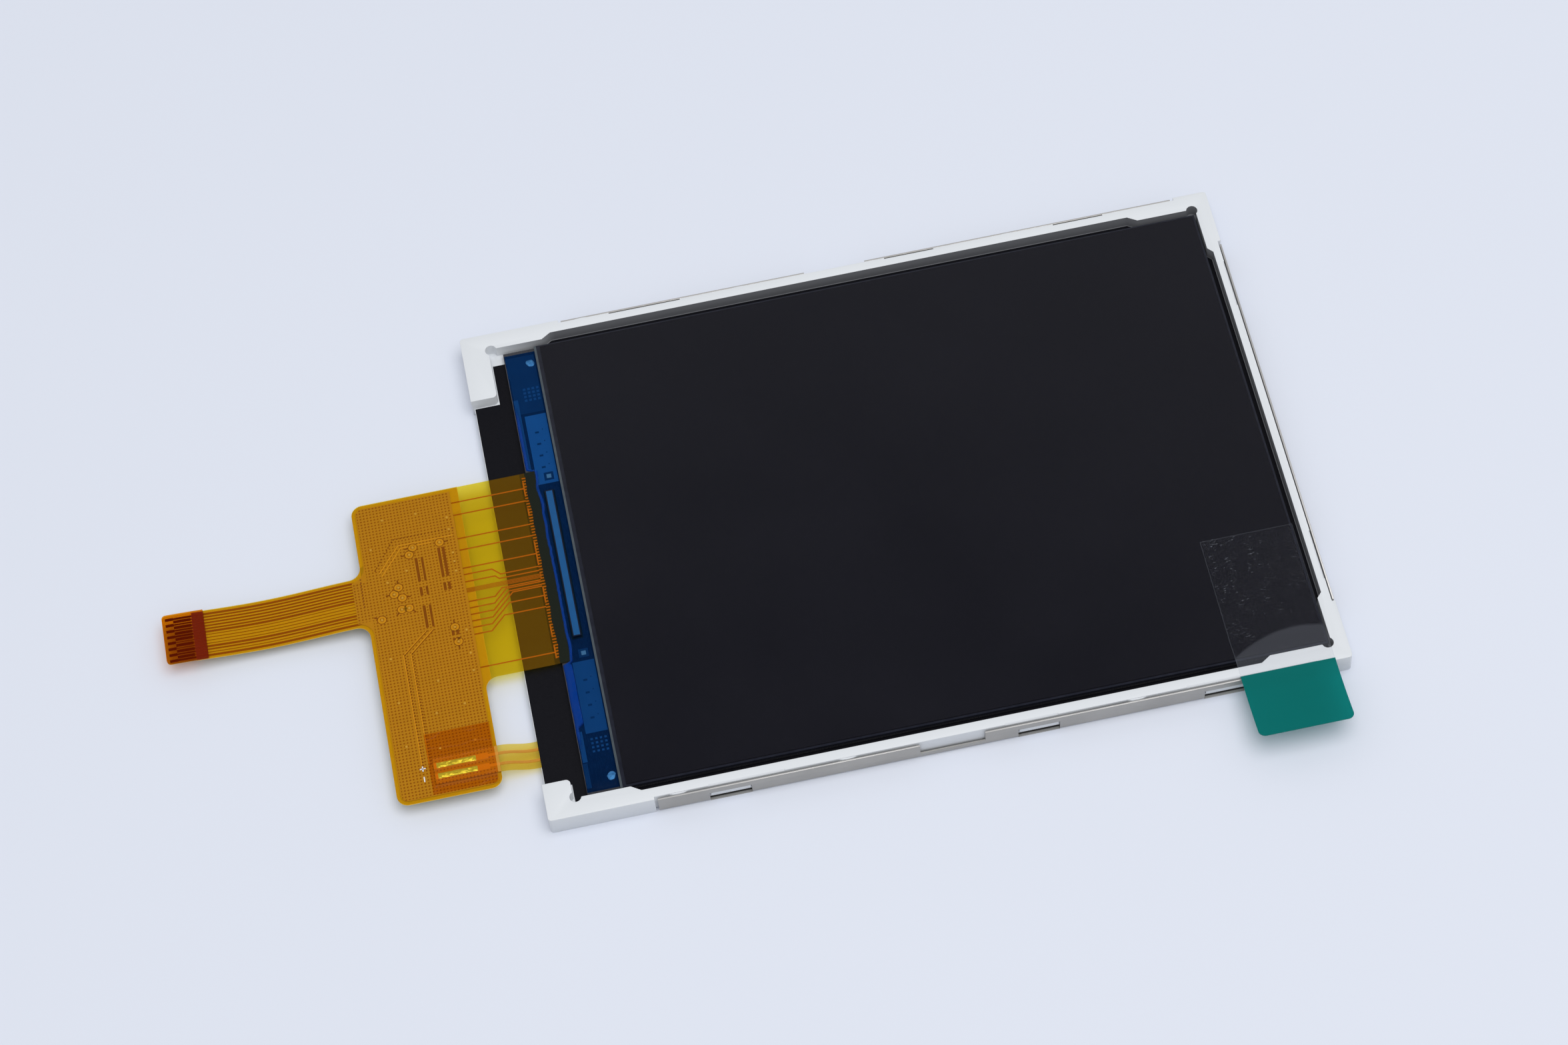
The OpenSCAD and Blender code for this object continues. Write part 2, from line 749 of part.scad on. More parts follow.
module upper_prism_sheet() {
    color("gainsboro") cavity_sheet(sheet_y, upper_prism_z, prism_t);
}

// Plan of the backlight's flex: the strip over the diodes and its tail, with two
// slots that the solder fills
module strip_outline() {
    difference() {
        union() {
            rect([-strip_w / 2, strip_back_y], [strip_w / 2, strip_edge_y]);
            rect([strip_tail_x - strip_tail_w / 2, strip_tail_y],
                [strip_tail_x + strip_tail_w / 2, strip_back_y + past]);
        }
        for (k = [0, 1]) joint_outline(k);
    }
}

// The backlight's flex: its tail climbs onto the main flex
module backlight_flex() {
    color("goldenrod") intersection() {
        translate([0, 0, -past]) linear_extrude(rim_z + 2 * past) strip_outline();
        translate([0, 0, strip_z]) along_x(-module_w, module_w) band(strip_run, 0, strip_t);
    }
}

// A side-emitting diode: white body with a recessed window towards the light guide
module led(i) {
    color("lightyellow") translate([led_x(i), led_y, led_z]) difference() {
        block([-led_w / 2, 0, 0], [led_w / 2, led_d, led_h]);
        block([-led_face_w / 2, led_d - led_face_d, (led_h - led_face_h) / 2],
            [led_face_w / 2, led_d + past, (led_h + led_face_h) / 2]);
    }
}

// Black frame tape: it seals the light in and holds the glass cell
module light_shield_tape() {
    color("black") translate([0, 0, ledge_z]) linear_extrude(tape_t) difference() {
        union() {
            opening_outline(tape_gap);
            mouth_outline(bar_y + tape_gap / 2, tape_gap);
        }
        rect([tape_lap - cavity_x, filter_y0 + tape_window_inset],
            [cavity_x - tape_lap, cavity_y - tape_lap]);
        rect([-boss_x, tab_y], [tape_corner_cut - boss_x, glass_y0]);
    }
}

// ---------------------------------------------------------------- glass cell

// One sheet of the cell, from y0 to the far end, inset from the glass edges
module cell_sheet(y0, z, t, inset = 0) {
    block([inset - glass_x, y0, z], [glass_x - inset, glass_y1 - inset, z + t]);
}

module rear_polarizer() {
    color("dimgray")
        cell_sheet(filter_y0 + polarizer_inset, rear_polarizer_z, polarizer_t, polarizer_inset);
}

module tft_glass() {
    color("lightsteelblue") cell_sheet(glass_y0, tft_z, glass_t);
}

module filter_glass() {
    color("slategray") cell_sheet(filter_y0, contact_z, glass_t);
}

module front_polarizer() {
    color("darkslategray")
        cell_sheet(filter_y0 + polarizer_ledge_inset, front_polarizer_z, polarizer_t, polarizer_inset);
}

module protective_film() {
    color("gray") cell_sheet(filter_y0 + polarizer_ledge_inset, screen_z, film_t, polarizer_inset);
}

// ---------------------------------------------------------------- chip and resin

// The chip's rectangle, grown by a margin, between two heights
module chip_block(low, high, m = 0) {
    block([-chip_w / 2 - m, chip_y - m, low], [chip_w / 2 + m, chip_y + chip_d + m, high]);
}

module driver_chip() {
    color("midnightblue") chip_block(chip_z, chip_z + chip_h);
}

module chip_bond_film() {
    color("olive") chip_block(contact_z, chip_z, chip_film_margin);
}

module flex_bond_film() {
    color("olive") difference() {
        block([neck_x0, glass_y0, contact_z], [neck_x1, bond_y, flex_z + base_0]);
        flex_layer(copper_0, base_0) neck_plan();
    }
}

// Silver paste dot that grounds the upper glass
module silver_dot(x) {
    cap_r = (dot_r * dot_r + dot_h * dot_h) / (2 * dot_h);
    color("lightgray") translate([x, dot_y, contact_z]) intersection() {
        translate([0, 0, dot_h - cap_r]) sphere(cap_r, $fn = 64);
        cylinder(h = dot_h + past, r = dot_r);
    }
}

// Bead of blue resin on the contact ledge, round the chip, the dots and the flex end
module sealing_resin() {
    color("royalblue") difference() {
        block([resin_end - glass_x, glass_y0, contact_z],
            [glass_x - resin_end, filter_y0, contact_z + resin_t]);
        chip_block(contact_z - past, rim_z);
        chip_block(contact_z - past, chip_z, chip_film_margin);
        block([neck_x0, glass_y0 - past, contact_z - past], [neck_x1, bond_y, flex_z + mesh_0]);
        for (x = [-dot_x, dot_x]) translate([x, dot_y, contact_z - past]) cylinder(h = rim_z, r = dot_r);
    }
}

// ---------------------------------------------------------------- flex circuit

// Plan outline of the flex, grown or shrunk by a margin
module flex_outline(margin = 0) {
    m = margin;
    round_rect([neck_x0 + m, body_y0 + m], [body_x1 - m, body_y1 - m], body_corner_r - m);
    rect([neck_x0 + m, body_y0 + body_l / 2], [neck_x1 - m, bond_y - m]);
    rect([tail_x - tail_w / 2 + m, tail_y0 + tail_tip_r], [tail_x + tail_w / 2 - m, body_y0 + body_l / 2]);
    round_rect([tail_x - tail_w / 2 + m, tail_y0 + m],
        [tail_x + tail_w / 2 - m, tail_y0 + tail_tip_l], tail_tip_r);
    corner_fill([neck_x1 - m, body_y1 - m], [1, 1], root_r + m);
    for (side = [-1, 1])
        corner_fill([tail_x + side * (tail_w / 2 - m), body_y0 + m], [side, -1], root_r + m);
}

// The part of the flex outline between two places along Y
module flex_stretch(y0, y1, margin = 0) {
    intersection() {
        flex_outline(margin);
        rect([-module_w, y0], [module_w, y1]);
    }
}

module flex_back_cover() {
    color("orange") flex_layer(0, cover_t) flex_stretch(contact_cover_y, back_cover_y);
}

// A routed trace through a list of points
module trace(points, w) {
    for (i = [1 : len(points) - 1]) {
        run = points[i] - points[i - 1];
        translate(points[i - 1]) rotate(atan2(run.y, run.x)) translate([0, -w / 2]) square([norm(run), w]);
        if (i < len(points) - 1) translate(points[i]) circle(d = w, $fn = 24);
    }
}

// Route of one neck trace: straight from under the body, then 45 degrees across
function neck_route(t) =
    let (x0 = neck_x0 + t[0], x1 = neck_x0 + t[1], y = body_y1 + t[2])
    x0 == x1
        ? [[x0, trace_start_y], [x0, finger_y]]
        : [[x0, trace_start_y], [x0, y], [x1, y + abs(x1 - x0)], [x1, finger_y]];

// Plan of the copper that comes down the neck to the fingers on the glass
module neck_plan() {
    for (t = neck_traces) trace(neck_route(t), trace_w);
    for (i = [0 : fine_count - 1]) {
        x = neck_x0 + fine_x + i * fine_pitch;
        rect([x - fine_w / 2, trace_start_y], [x + fine_w / 2, finger_y + trace_w]);
    }
    for (b = finger_bars) rect([neck_x0 + b[0], finger_y], [neck_x0 + b[1], finger_y + trace_w]);
    for (i = [0 : finger_count - 1]) {
        x = finger_x0 + i * finger_pitch;
        rect([x - trace_w / 2, finger_y], [x + trace_w / 2, bond_y - finger_end]);
    }
}

module neck_traces() {
    color("peru") flex_layer(copper_0, base_0) neck_plan();
}

// Place of a conductor across the tail
function conductor_x(i) = tail_x + (i - (contact_count - 1) / 2) * contact_pitch;

// Place of a solder joint across the module
function joint_x(k) = strip_tail_x + (k - 0.5) * joint_pitch;

// Plan of the tail's conductors: staggered contacts at the tip, then parallel lines.
// The last two lines run on to the solder joints of the backlight.
module conductor_plan() {
    for (i = [0 : contact_count - 1]) {
        x = conductor_x(i);
        front = i % 2 == 0;
        y0 = front ? front_row_y : back_row_y;
        rect([x - contact_w / 2, y0], [x + contact_w / 2, y0 + (front ? front_contact_l : back_contact_l)]);
        k = i - (contact_count - 2);
        level = body_y0 + lamp_line_y - k * contact_pitch;
        trace(k < 0
            ? [[x, y0], [x, conductor_end_y]]
            : [[x, y0], [x, conductor_end_y], [x + level - conductor_end_y, level], [joint_x(k), level],
                [joint_x(k), joint_y]], line_widths[i]);
    }
}

module tail_conductors() {
    color("darkgoldenrod") flex_layer(copper_0, base_0) conductor_plan();
}

module flex_base() {
    color("gold") flex_layer(base_0, mesh_0) flex_outline();
}

// Plan outline of a solder joint
module joint_outline(k, grow = 0) {
    x = joint_x(k);
    round_rect([x - joint_w / 2 - grow, joint_y - joint_l / 2 - grow],
        [x + joint_w / 2 + grow, joint_y + joint_l / 2 + grow], joint_corner_r);
}

// Ground copper on the front of the body, with two solder pads cut free in it
module flex_front_copper() {
    color("chocolate") flex_layer(mesh_0, front_0) {
        difference() {
            flex_stretch(mesh_tail_y, mesh_y1, mesh_margin);
            for (k = [0, 1]) joint_outline(k, pad_margin + pad_gap);
        }
        for (k = [0, 1]) joint_outline(k, pad_margin);
    }
}

module flex_front_cover() {
    color("orange") flex_layer(front_0, flex_t) difference() {
        flex_stretch(tail_y0, front_cover_y);
        for (k = [0, 1]) joint_outline(k);
    }
}

module tail_stiffener() {
    color("saddlebrown") flex_layer(flex_t, flex_t + stiffener_t)
        flex_stretch(tail_y0, tail_y0 + stiffener_l);
}

// ---------------------------------------------------------------- joints and insulation

// A solder joint fills its slot down to the pad and stands up as a low crown
module solder_joint(k) {
    x = joint_x(k);
    crown_r = (joint_w * joint_w / 4 + joint_h * joint_h) / (2 * joint_h);
    color("gainsboro") intersection() {
        translate([0, 0, flex_z + front_0]) linear_extrude(rim_z) joint_outline(k);
        along_y(joint_y - joint_l, joint_y + joint_l) {
            rect([x - joint_w, 0], [x + joint_w, joint_z]);
            translate([x, joint_z + joint_h - crown_r]) circle(crown_r, $fn = 64);
        }
    }
}

// Polyimide tape, draped over the backlight's tail and its joints
module insulation_tape() {
    low = flex_z + flex_t;
    patch_y0 = patch_y1 - patch_l;
    color("sienna") difference() {
        union() {
            block([patch_x - patch_w / 2, patch_y0, low], [patch_x + patch_w / 2, patch_y1, low + patch_t]);
            block([strip_tail_x - strip_tail_w / 2 - patch_t, strip_tail_y - patch_t, low],
                [strip_tail_x + strip_tail_w / 2 + patch_t, patch_y1, joint_z + patch_t]);
            translate([0, 0, joint_z]) linear_extrude(joint_h + patch_t)
                for (k = [0, 1]) joint_outline(k, patch_t);
        }
        block([strip_tail_x - strip_tail_w / 2, strip_tail_y, low - past],
            [strip_tail_x + strip_tail_w / 2, patch_y1 + past, joint_z]);
        for (k = [0, 1]) solder_joint(k);
    }
}

// ---------------------------------------------------------------- pull tab

// Part of the pull tab's plan, with round corners at its outer end
module pull_plan(x0) {
    translate([0, 0, -past]) linear_extrude(rim_z + handle_curl + 2 * past) {
        round_rect([x0, pull_y0], [pull_x1, pull_y1], handle_corner_r);
        rect([x0, pull_y0], [x0 + 2 * handle_corner_r, pull_y1]);
    }
}

// Clear strip: stuck to the protective film, up over the rim, on under the handle
module pull_strip() {
    color("lightgray") intersection() {
        pull_plan(pull_x0);
        along_y(pull_y0 - past, pull_y1 + past) band(pull_run, 0, pull_t);
    }
}

// Green handle, stuck on the strip's free end
module pull_handle() {
    color("teal") intersection() {
        pull_plan(handle_x0);
        along_y(pull_y0 - past, pull_y1 + past) band(pull_run, pull_t, pull_t + handle_t);
    }
}

// ---------------------------------------------------------------- nodes

back_shell();
moulded_frame();
reflector_sheet();
light_guide();
diffuser_sheet();
lower_prism_sheet();
upper_prism_sheet();
backlight_flex();
led(1);  // led_1
led(2);  // led_2
led(3);  // led_3
led(4);  // led_4
light_shield_tape();
rear_polarizer();
tft_glass();
filter_glass();
front_polarizer();
protective_film();
driver_chip();
chip_bond_film();
flex_bond_film();
sealing_resin();
silver_dot(-dot_x);  // silver_dot_left
silver_dot(dot_x);  // silver_dot_right
flex_back_cover();
neck_traces();
tail_conductors();
flex_base();
flex_front_copper();
flex_front_cover();
tail_stiffener();
solder_joint(0);  // solder_joint_left
solder_joint(1);  // solder_joint_right
insulation_tape();
pull_strip();
pull_handle();
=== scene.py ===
# %% [markdown]
# # A colour display module with its flex tail
#
# The real thing is a stack: a folded steel back, a white moulded frame that snaps
# into it, the backlight's sheets, a black tape, two sheets of glass with their
# polarizers, and an amber flex circuit bonded to the glass.
#
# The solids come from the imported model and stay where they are. This script gives
# them their finishes, and it builds the pieces whose look is finer than a plain
# solid: rounded edges, thin films, copper patterns, resin, tape and solder.

# %% Load the solids
import bmesh
import bpy
import json
import math
from mathutils import Matrix, Vector, noise

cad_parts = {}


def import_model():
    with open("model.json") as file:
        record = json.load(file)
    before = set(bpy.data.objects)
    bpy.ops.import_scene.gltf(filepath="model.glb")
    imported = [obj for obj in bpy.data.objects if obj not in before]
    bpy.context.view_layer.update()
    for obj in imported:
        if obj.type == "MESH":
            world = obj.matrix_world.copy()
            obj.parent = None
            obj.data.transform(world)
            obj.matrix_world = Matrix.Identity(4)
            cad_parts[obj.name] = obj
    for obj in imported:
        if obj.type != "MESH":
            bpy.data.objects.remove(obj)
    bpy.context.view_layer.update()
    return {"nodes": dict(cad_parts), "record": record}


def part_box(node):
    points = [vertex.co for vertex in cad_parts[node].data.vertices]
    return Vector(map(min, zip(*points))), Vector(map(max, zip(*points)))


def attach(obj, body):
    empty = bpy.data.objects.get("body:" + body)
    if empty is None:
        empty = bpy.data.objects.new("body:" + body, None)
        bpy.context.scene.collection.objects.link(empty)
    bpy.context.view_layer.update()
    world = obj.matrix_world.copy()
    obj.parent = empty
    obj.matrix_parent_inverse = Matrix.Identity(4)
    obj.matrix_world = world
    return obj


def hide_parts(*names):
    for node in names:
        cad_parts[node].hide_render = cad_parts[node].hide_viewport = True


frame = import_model()
nodes = frame["nodes"]
MM = 0.001


def box_mm(name):
    """The lowest and highest corner of a solid, in millimetres."""
    return [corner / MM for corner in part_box(name)]


print("solids:", len(nodes))

# %% [markdown]
# ## Camera
#
# A small flat part shows best through a long lens from well above, with the camera
# rolled a little. Three angles could turn the camera, but its three directions,
# written as the columns of its matrix, hold the roll with nothing to convert.

# %% Camera
camera_data = bpy.data.cameras.new("camera")
camera_data.sensor_width = 36
camera_data.lens = 88.61
camera_data.clip_start = 0.01
camera_data.clip_end = 10
camera = bpy.data.objects.new("camera", camera_data)
bpy.context.scene.collection.objects.link(camera)
eye = Vector((176.704, -25.495, 288.616)) * MM
right = Vector((0.19297, 0.97908, -0.06455))
up = Vector((-0.83038, 0.19800, 0.52083))
back = Vector((0.52271, -0.04690, 0.85122))
camera.matrix_world = Matrix.Translation(eye) @ Matrix((right, up, back)).transposed().to_4x4()
bpy.context.scene.camera = camera
bpy.context.scene.view_settings.view_transform = "Standard"
print("camera", round(eye.length, 3), "m from the part")

# %% [markdown]
# ## Helpers for node trees
#
# Every finish below is a small tree of nodes. `add` makes one node and feeds its
# inputs by name, with numbers or with other nodes' outputs. The others are steps
# that come back in many finishes, so that a finish reads as a short recipe. An
# output knows its tree, so only a step that starts from nothing is told the tree.

# %% Making and feeding nodes
def feed(socket, value):
    """Links an output to an input, or sets the input to a number, colour or vector."""
    if isinstance(value, bpy.types.NodeSocket):
        socket.id_data.links.new(value, socket)
    else:
        socket.default_value = value


def feed_all(node, inputs):
    """Feeds a node's inputs by name, with _ for a space."""
    for name, value in inputs.items():
        feed(node.inputs[name.replace("_", " ")], value)
    return node


def add(tree, kind, **inputs):
    """Adds a node of this kind and feeds its inputs."""
    return feed_all(tree.nodes.new("ShaderNode" + kind), inputs)


# %% Calculating with outputs
def calculate(operation, *values):
    """A Math node on numbers and outputs, at least one of them an output."""
    tree = next(value.id_data for value in values if isinstance(value, bpy.types.NodeSocket))
    node = add(tree, "Math")
    node.operation = operation
    for socket, value in zip(node.inputs, values):
        feed(socket, value)
    return node.outputs[0]


def product(*values):
    """The values multiplied. The product of masks is where they overlap."""
    result = values[0]
    for value in values[1:]:
        result = calculate("MULTIPLY", result, value)
    return result


def invert(mask):
    """1 where the mask is 0, and 0 where it is 1."""
    return calculate("SUBTRACT", 1, mask)


def remap(value, start, end, low=0, high=1):
    """Turns a value that runs from start to end into one that runs from low to high."""
    node = add(value.id_data, "MapRange", Value=value,
               From_Min=start, From_Max=end, To_Min=low, To_Max=high)
    return node.outputs["Result"]


def spread(mask, low, high):
    """Stretches a mask from 0 to 1 over the range from low to high."""
    return remap(mask, 0, 1, low, high)


def part_of(vector, axis):
    """One component of a vector."""
    return add(vector.id_data, "SeparateXYZ", Vector=vector).outputs[axis]


# %% Mixing colours
def blend_colours(mask, under, over):
    """Mixes two colours by a mask. Each colour is a tuple or an output."""
    node = add(mask.id_data, "Mix")
    node.data_type = "RGBA"
    feed(node.inputs["Factor"], mask)
    colour_inputs = [socket for socket in node.inputs if socket.type == "RGBA"]
    for socket, value in zip(colour_inputs, (under, over)):
        feed(socket, (*value, 1) if isinstance(value, tuple) else value)
    return next(socket for socket in node.outputs if socket.type == "RGBA")


# %% [markdown]
# ## Shared effects
#
# Some effects turn up in many finishes: a soft cloudiness that can be drawn out
# into a grain, and a regular grid of dimples. Each is built once as a node group
# that reads Object coordinates, which are in metres here, and puts out a mask.

# %% Soft noise
def start_group(name, inputs):
    """A shader node group with named values in and one mask out."""
    tree = bpy.data.node_groups.new(name, "ShaderNodeTree")
    for label, value in inputs.items():
        socket = tree.interface.new_socket(
            label, in_out="INPUT", socket_type="NodeSocketFloat")
        socket.default_value = value
    tree.interface.new_socket("Mask", in_out="OUTPUT", socket_type="NodeSocketFloat")
    return tree, tree.nodes.new("NodeGroupInput"), tree.nodes.new("NodeGroupOutput")


def surface_place(tree):
    """The place on the surface, in metres."""
    return add(tree, "TexCoord").outputs["Object"]


def make_cloud_group():
    """Soft noise: Size is in millimetres, and Stretch draws it out along Y."""
    tree, given, out = start_group("cloud", {"Size": 1, "Stretch": 1, "Detail": 3})
    across = product(given.outputs["Size"], MM)
    along = product(across, given.outputs["Stretch"])
    size = add(tree, "CombineXYZ", X=across, Y=along, Z=across)
    scaled = add(tree, "VectorMath")
    scaled.operation = "DIVIDE"
    feed(scaled.inputs[0], surface_place(tree))
    feed(scaled.inputs[1], size.outputs[0])
    texture = add(tree, "TexNoise", Scale=1, Vector=scaled.outputs[0],
                  Detail=given.outputs["Detail"])
    feed(out.inputs["Mask"], texture.outputs["Fac"])
    return tree


# %% Dimples
def make_dimple_group():
    """A square grid of round dimples in plan: every length is in millimetres."""
    tree, given, out = start_group("dimples", {"Pitch": 0.3, "Radius": 0.05, "Blur": 0.02})
    place = surface_place(tree)
    pitch = product(given.outputs["Pitch"], MM)
    squares = []
    for axis in ("X", "Y"):
        cells = calculate("DIVIDE", part_of(place, axis), pitch)
        from_middle = calculate("SUBTRACT", calculate("FRACT", cells), 0.5)
        offset = product(from_middle, given.outputs["Pitch"])
        squares.append(product(offset, offset))
    distance = calculate("SQRT", calculate("ADD", *squares))
    radius, blur = given.outputs["Radius"], given.outputs["Blur"]
    inner, outer = calculate("SUBTRACT", radius, blur), calculate("ADD", radius, blur)
    edge = add(tree, "MapRange", Value=distance, From_Min=inner, From_Max=outer,
               To_Min=1, To_Max=0)
    edge.interpolation_type = "SMOOTHSTEP"
    feed(out.inputs["Mask"], edge.outputs["Result"])
    return tree


groups = {"cloud": make_cloud_group(), "dimples": make_dimple_group()}
print("shared effects:", ", ".join(groups))


def effect(tree, name, **values):
    """Places a shared effect in a finish and returns its mask."""
    node = add(tree, "Group")
    node.node_tree = groups[name]
    return feed_all(node, values).outputs["Mask"]


# %% [markdown]
# ## Masks by place
#
# Many finishes change at a certain line: the chip has a dark rim, and a film is
# solid where glue lies behind it. A painted image could hold such a map, but a
# comparison of coordinates gives an edge that is sharp at any distance, and it can
# follow the box of a solid.

# %% Masks by place
def past(tree, axis, limit):
    """1 where a coordinate is more than a limit in millimetres, and 0 elsewhere."""
    return calculate("GREATER_THAN", part_of(surface_place(tree), axis), limit * MM)


def before(tree, axis, limit):
    """1 where a coordinate is less than a limit in millimetres, and 0 elsewhere."""
    return calculate("LESS_THAN", part_of(surface_place(tree), axis), limit * MM)


def inside(tree, x_range, y_range):
    """1 inside a rectangle seen from above, with ranges in millimetres."""
    return product(past(tree, "X", x_range[0]), before(tree, "X", x_range[1]),
                   past(tree, "Y", y_range[0]), before(tree, "Y", y_range[1]))


# %% [markdown]
# ## Starting a finish
#
# A solid finish is one Principled shader. A film is a Principled shader mixed with
# a Transparent shader of the film's colour: what lies under the film shows through
# it, tinted, and its shadow on the table is tinted too. Glass with refraction would
# bend the view more truly, but on films a fortieth of a millimetre thick the bend
# can't be seen, and their shadows would turn black.
#
# No real surface has one even colour, so every finish lets its colour wander between
# two shades. Where one grain can rule the colour, the gloss and the height together,
# `grained_finish` makes the whole finish in one call.

# %% Finishes
finishes = {}


def start_finish(name, colour, roughness, **settings):
    """A material with one Principled shader. Returns its tree and the shader."""
    material = bpy.data.materials.new(name + "_finish")
    material.use_nodes = True
    finishes[name] = material
    shader = material.node_tree.nodes["Principled BSDF"]
    feed_all(shader, {"Base Color": (*colour, 1), "Roughness": roughness, **settings})
    print("finish:", name)
    return material.node_tree, shader


# %% Films
def make_film(shader, tint, solidity):
    """Lets what is behind show through, tinted. solidity is the shader's own share."""
    tree = shader.id_data
    mix = add(tree, "MixShader", Fac=solidity)
    feed(mix.inputs[1], add(tree, "BsdfTransparent", Color=(*tint, 1)).outputs[0])
    feed(mix.inputs[2], shader.outputs[0])
    feed(tree.nodes["Material Output"].inputs["Surface"], mix.outputs[0])


# %% Relief, colour and gloss
def add_bump(shader, height, depth):
    """Raises the surface where the mask is light, by a depth in millimetres."""
    bump = add(shader.id_data, "Bump", Distance=depth * MM, Height=height)
    feed(shader.inputs["Normal"], bump.outputs["Normal"])


def paint(shader, mask, under, over):
    """Gives a shader two colours: under where the mask is 0, and over where it is 1."""
    feed(shader.inputs["Base Color"], blend_colours(mask, under, over))


def vary_gloss(shader, mask, low, high):
    """Lets the roughness wander between two values."""
    feed(shader.inputs["Roughness"], spread(mask, low, high))


# %% A finish with one grain
def grained_finish(name, light, dark, roughness, size, detail=3, relief=0, **settings):
    """A finish in two shades that follow a grain of some millimetres.

    roughness is a number or a range that follows the grain too, and relief is the
    grain's height in millimetres.
    """
    varies = isinstance(roughness, tuple)
    tree, shader = start_finish(name, light, roughness[0] if varies else roughness, **settings)
    grain = effect(tree, "cloud", Size=size, Detail=detail)
    paint(shader, grain, dark, light)
    if varies:
        vary_gloss(shader, grain, *roughness)
    if relief:
        add_bump(shader, grain, relief)
    return tree, shader


# %% [markdown]
# ## Steel and plastic
#
# The back is bright rolled sheet, so its grain runs one way and its gloss is
# uneven. The sheared edge along the top of its walls is painted brighter still:
# partly its own bare metal, partly a painted highlight. The frame is moulded from a
# white plastic whose mould was lightly blasted: satin, with a fine even grain.
# Inside its rim the frame is painted dark, from nothing at the flex end to full a
# few millimetres in. A mask of faces that point up or down tells an edge or a rim
# from a wall, and both differences are built on it.

# %% Steel
cut_edge_highlight_depth = 0.04


def level_faces(tree):
    """1 on faces that look up or down, 0 on walls."""
    upwards = part_of(add(tree, "TexCoord").outputs["Normal"], "Z")
    return calculate("GREATER_THAN", calculate("ABSOLUTE", upwards), 0.6)


tree, shader = start_finish("steel", (0.4, 0.4, 0.4), 0.36, Metallic=0.7)
grain = effect(tree, "cloud", Size=0.06, Stretch=18, Detail=4)
patches = effect(tree, "cloud", Size=3.5, Stretch=1.5, Detail=2)
sheet = blend_colours(patches, (0.35, 0.34, 0.32), (0.49, 0.475, 0.45))
top = box_mm("back_shell")[1].z
# The top faces of the walls are painted brighter: partly the bare sheared metal, partly a painted
# highlight.
cut_edge_highlight = product(level_faces(tree), past(tree, "Z", top - cut_edge_highlight_depth))
paint(shader, cut_edge_highlight, sheet, (0.50, 0.49, 0.48))
vary_gloss(shader, grain, 0.26, 0.5)
add_bump(shader, grain, 0.004)

# %% White plastic
rim_base = 1.6
well_x, well_y = (-24.2, 24.2), (-32, 34.15)
well_starts, well_dark = -31.5, -26


def well(tree):
    """1 on the frame inside its rim, rising slowly from 0 at the flex end."""
    y = part_of(surface_place(tree), "Y")
    deepening = remap(y, well_starts * MM, well_dark * MM)
    rim_face = product(level_faces(tree), past(tree, "Z", rim_base))
    return product(inside(tree, well_x, well_y), deepening, invert(rim_face))


tree, shader = start_finish(
    "frame_plastic", (0.75, 0.77, 0.785), 0.42, Specular_IOR_Level=0.35)
grain = effect(tree, "cloud", Size=0.09, Detail=3)
shade = effect(tree, "cloud", Size=9, Detail=2)
white = blend_colours(shade, (0.67, 0.695, 0.73), (0.71, 0.735, 0.765))
# Inside its rim the frame is painted a dark grey, fading in from the flex end.
paint(shader, well(tree), white, (0.16, 0.165, 0.18))
vary_gloss(shader, grain, 0.36, 0.52)
add_bump(shader, grain, 0.006)

# %% [markdown]
# ## Backlight finishes
#
# These sheets are hidden while the module is whole, but they are there: a silvery
# reflector, a clear light guide with fine dots that let the light out, frosted
# films, and four lamps under a yellow phosphor. They could share one white, but each
# has its own look, so that the stack still reads right when it is taken apart.

# %% Light guide
tree, shader = start_finish("guide_plastic", (0.80, 0.86, 0.88), 0.12)
dots = effect(tree, "dimples", Pitch=0.6, Radius=0.12, Blur=0.03)
paint(shader, dots, (0.76, 0.83, 0.86), (0.90, 0.93, 0.94))
vary_gloss(shader, dots, 0.1, 0.45)

# %% Reflector, frosted sheets and lamps
grained_finish("reflector", (0.88, 0.89, 0.90), (0.82, 0.83, 0.85), roughness=(0.22, 0.4),
               size=0.2, Metallic=0.4)
grained_finish("sheet_plastic", (0.84, 0.85, 0.86), (0.76, 0.77, 0.79), roughness=0.55,
               size=0.05, detail=2, relief=0.004)
grained_finish("led_body", (0.86, 0.85, 0.70), (0.78, 0.72, 0.42), roughness=0.35,
               size=0.3, detail=2)

# %% [markdown]
# ## Tape, polarizers and glass
#
# The tape is a matt black film. The polarizer is the big dark face of the module:
# nearly black, and its anti-glare skin keeps reflections weak and soft. The lower
# glass shows at the contact ledge, where its fine metal lines make it a blue grey.
# Clear glass would show the black tape behind it, so an opaque finish in the colour
# that shows looks the same and renders faster.

# %% Glass
tree, shader = start_finish("cell_glass", (0.09, 0.09, 0.1), 0.15)
lines = effect(tree, "cloud", Size=0.5, Stretch=0.2, Detail=2)
patches = effect(tree, "cloud", Size=5, Detail=1)
paint(shader, product(lines, patches), (0.015, 0.015, 0.02), (0.10, 0.10, 0.11))

tree, shader = start_finish("filter_glass", (0.06, 0.07, 0.09), 0.12, Specular_IOR_Level=0.2)
cloud = effect(tree, "cloud", Size=0.8, Detail=2)
# A strip along the glass's cut edge is painted pale: a painted highlight along the edge.
cut_edge_highlight = before(tree, "Y", box_mm("filter_glass")[0].y + 0.2)
border = blend_colours(cloud, (0.010, 0.011, 0.018), (0.022, 0.024, 0.036))
pale_edge_highlight = blend_colours(cloud, (0.045, 0.060, 0.075), (0.085, 0.10, 0.11))
paint(shader, cut_edge_highlight, border, pale_edge_highlight)

# %% Tape and polarizers
grained_finish("black_tape", (0.007, 0.007, 0.010), (0.003, 0.003, 0.005),
               roughness=(0.30, 0.44), size=0.12, detail=4, relief=0.0015,
               Specular_IOR_Level=0.08)
grained_finish("polarizer", (0.0042, 0.0040, 0.0085), (0.0020, 0.0019, 0.0052),
               roughness=(0.16, 0.24), size=14, Specular_IOR_Level=0.25)

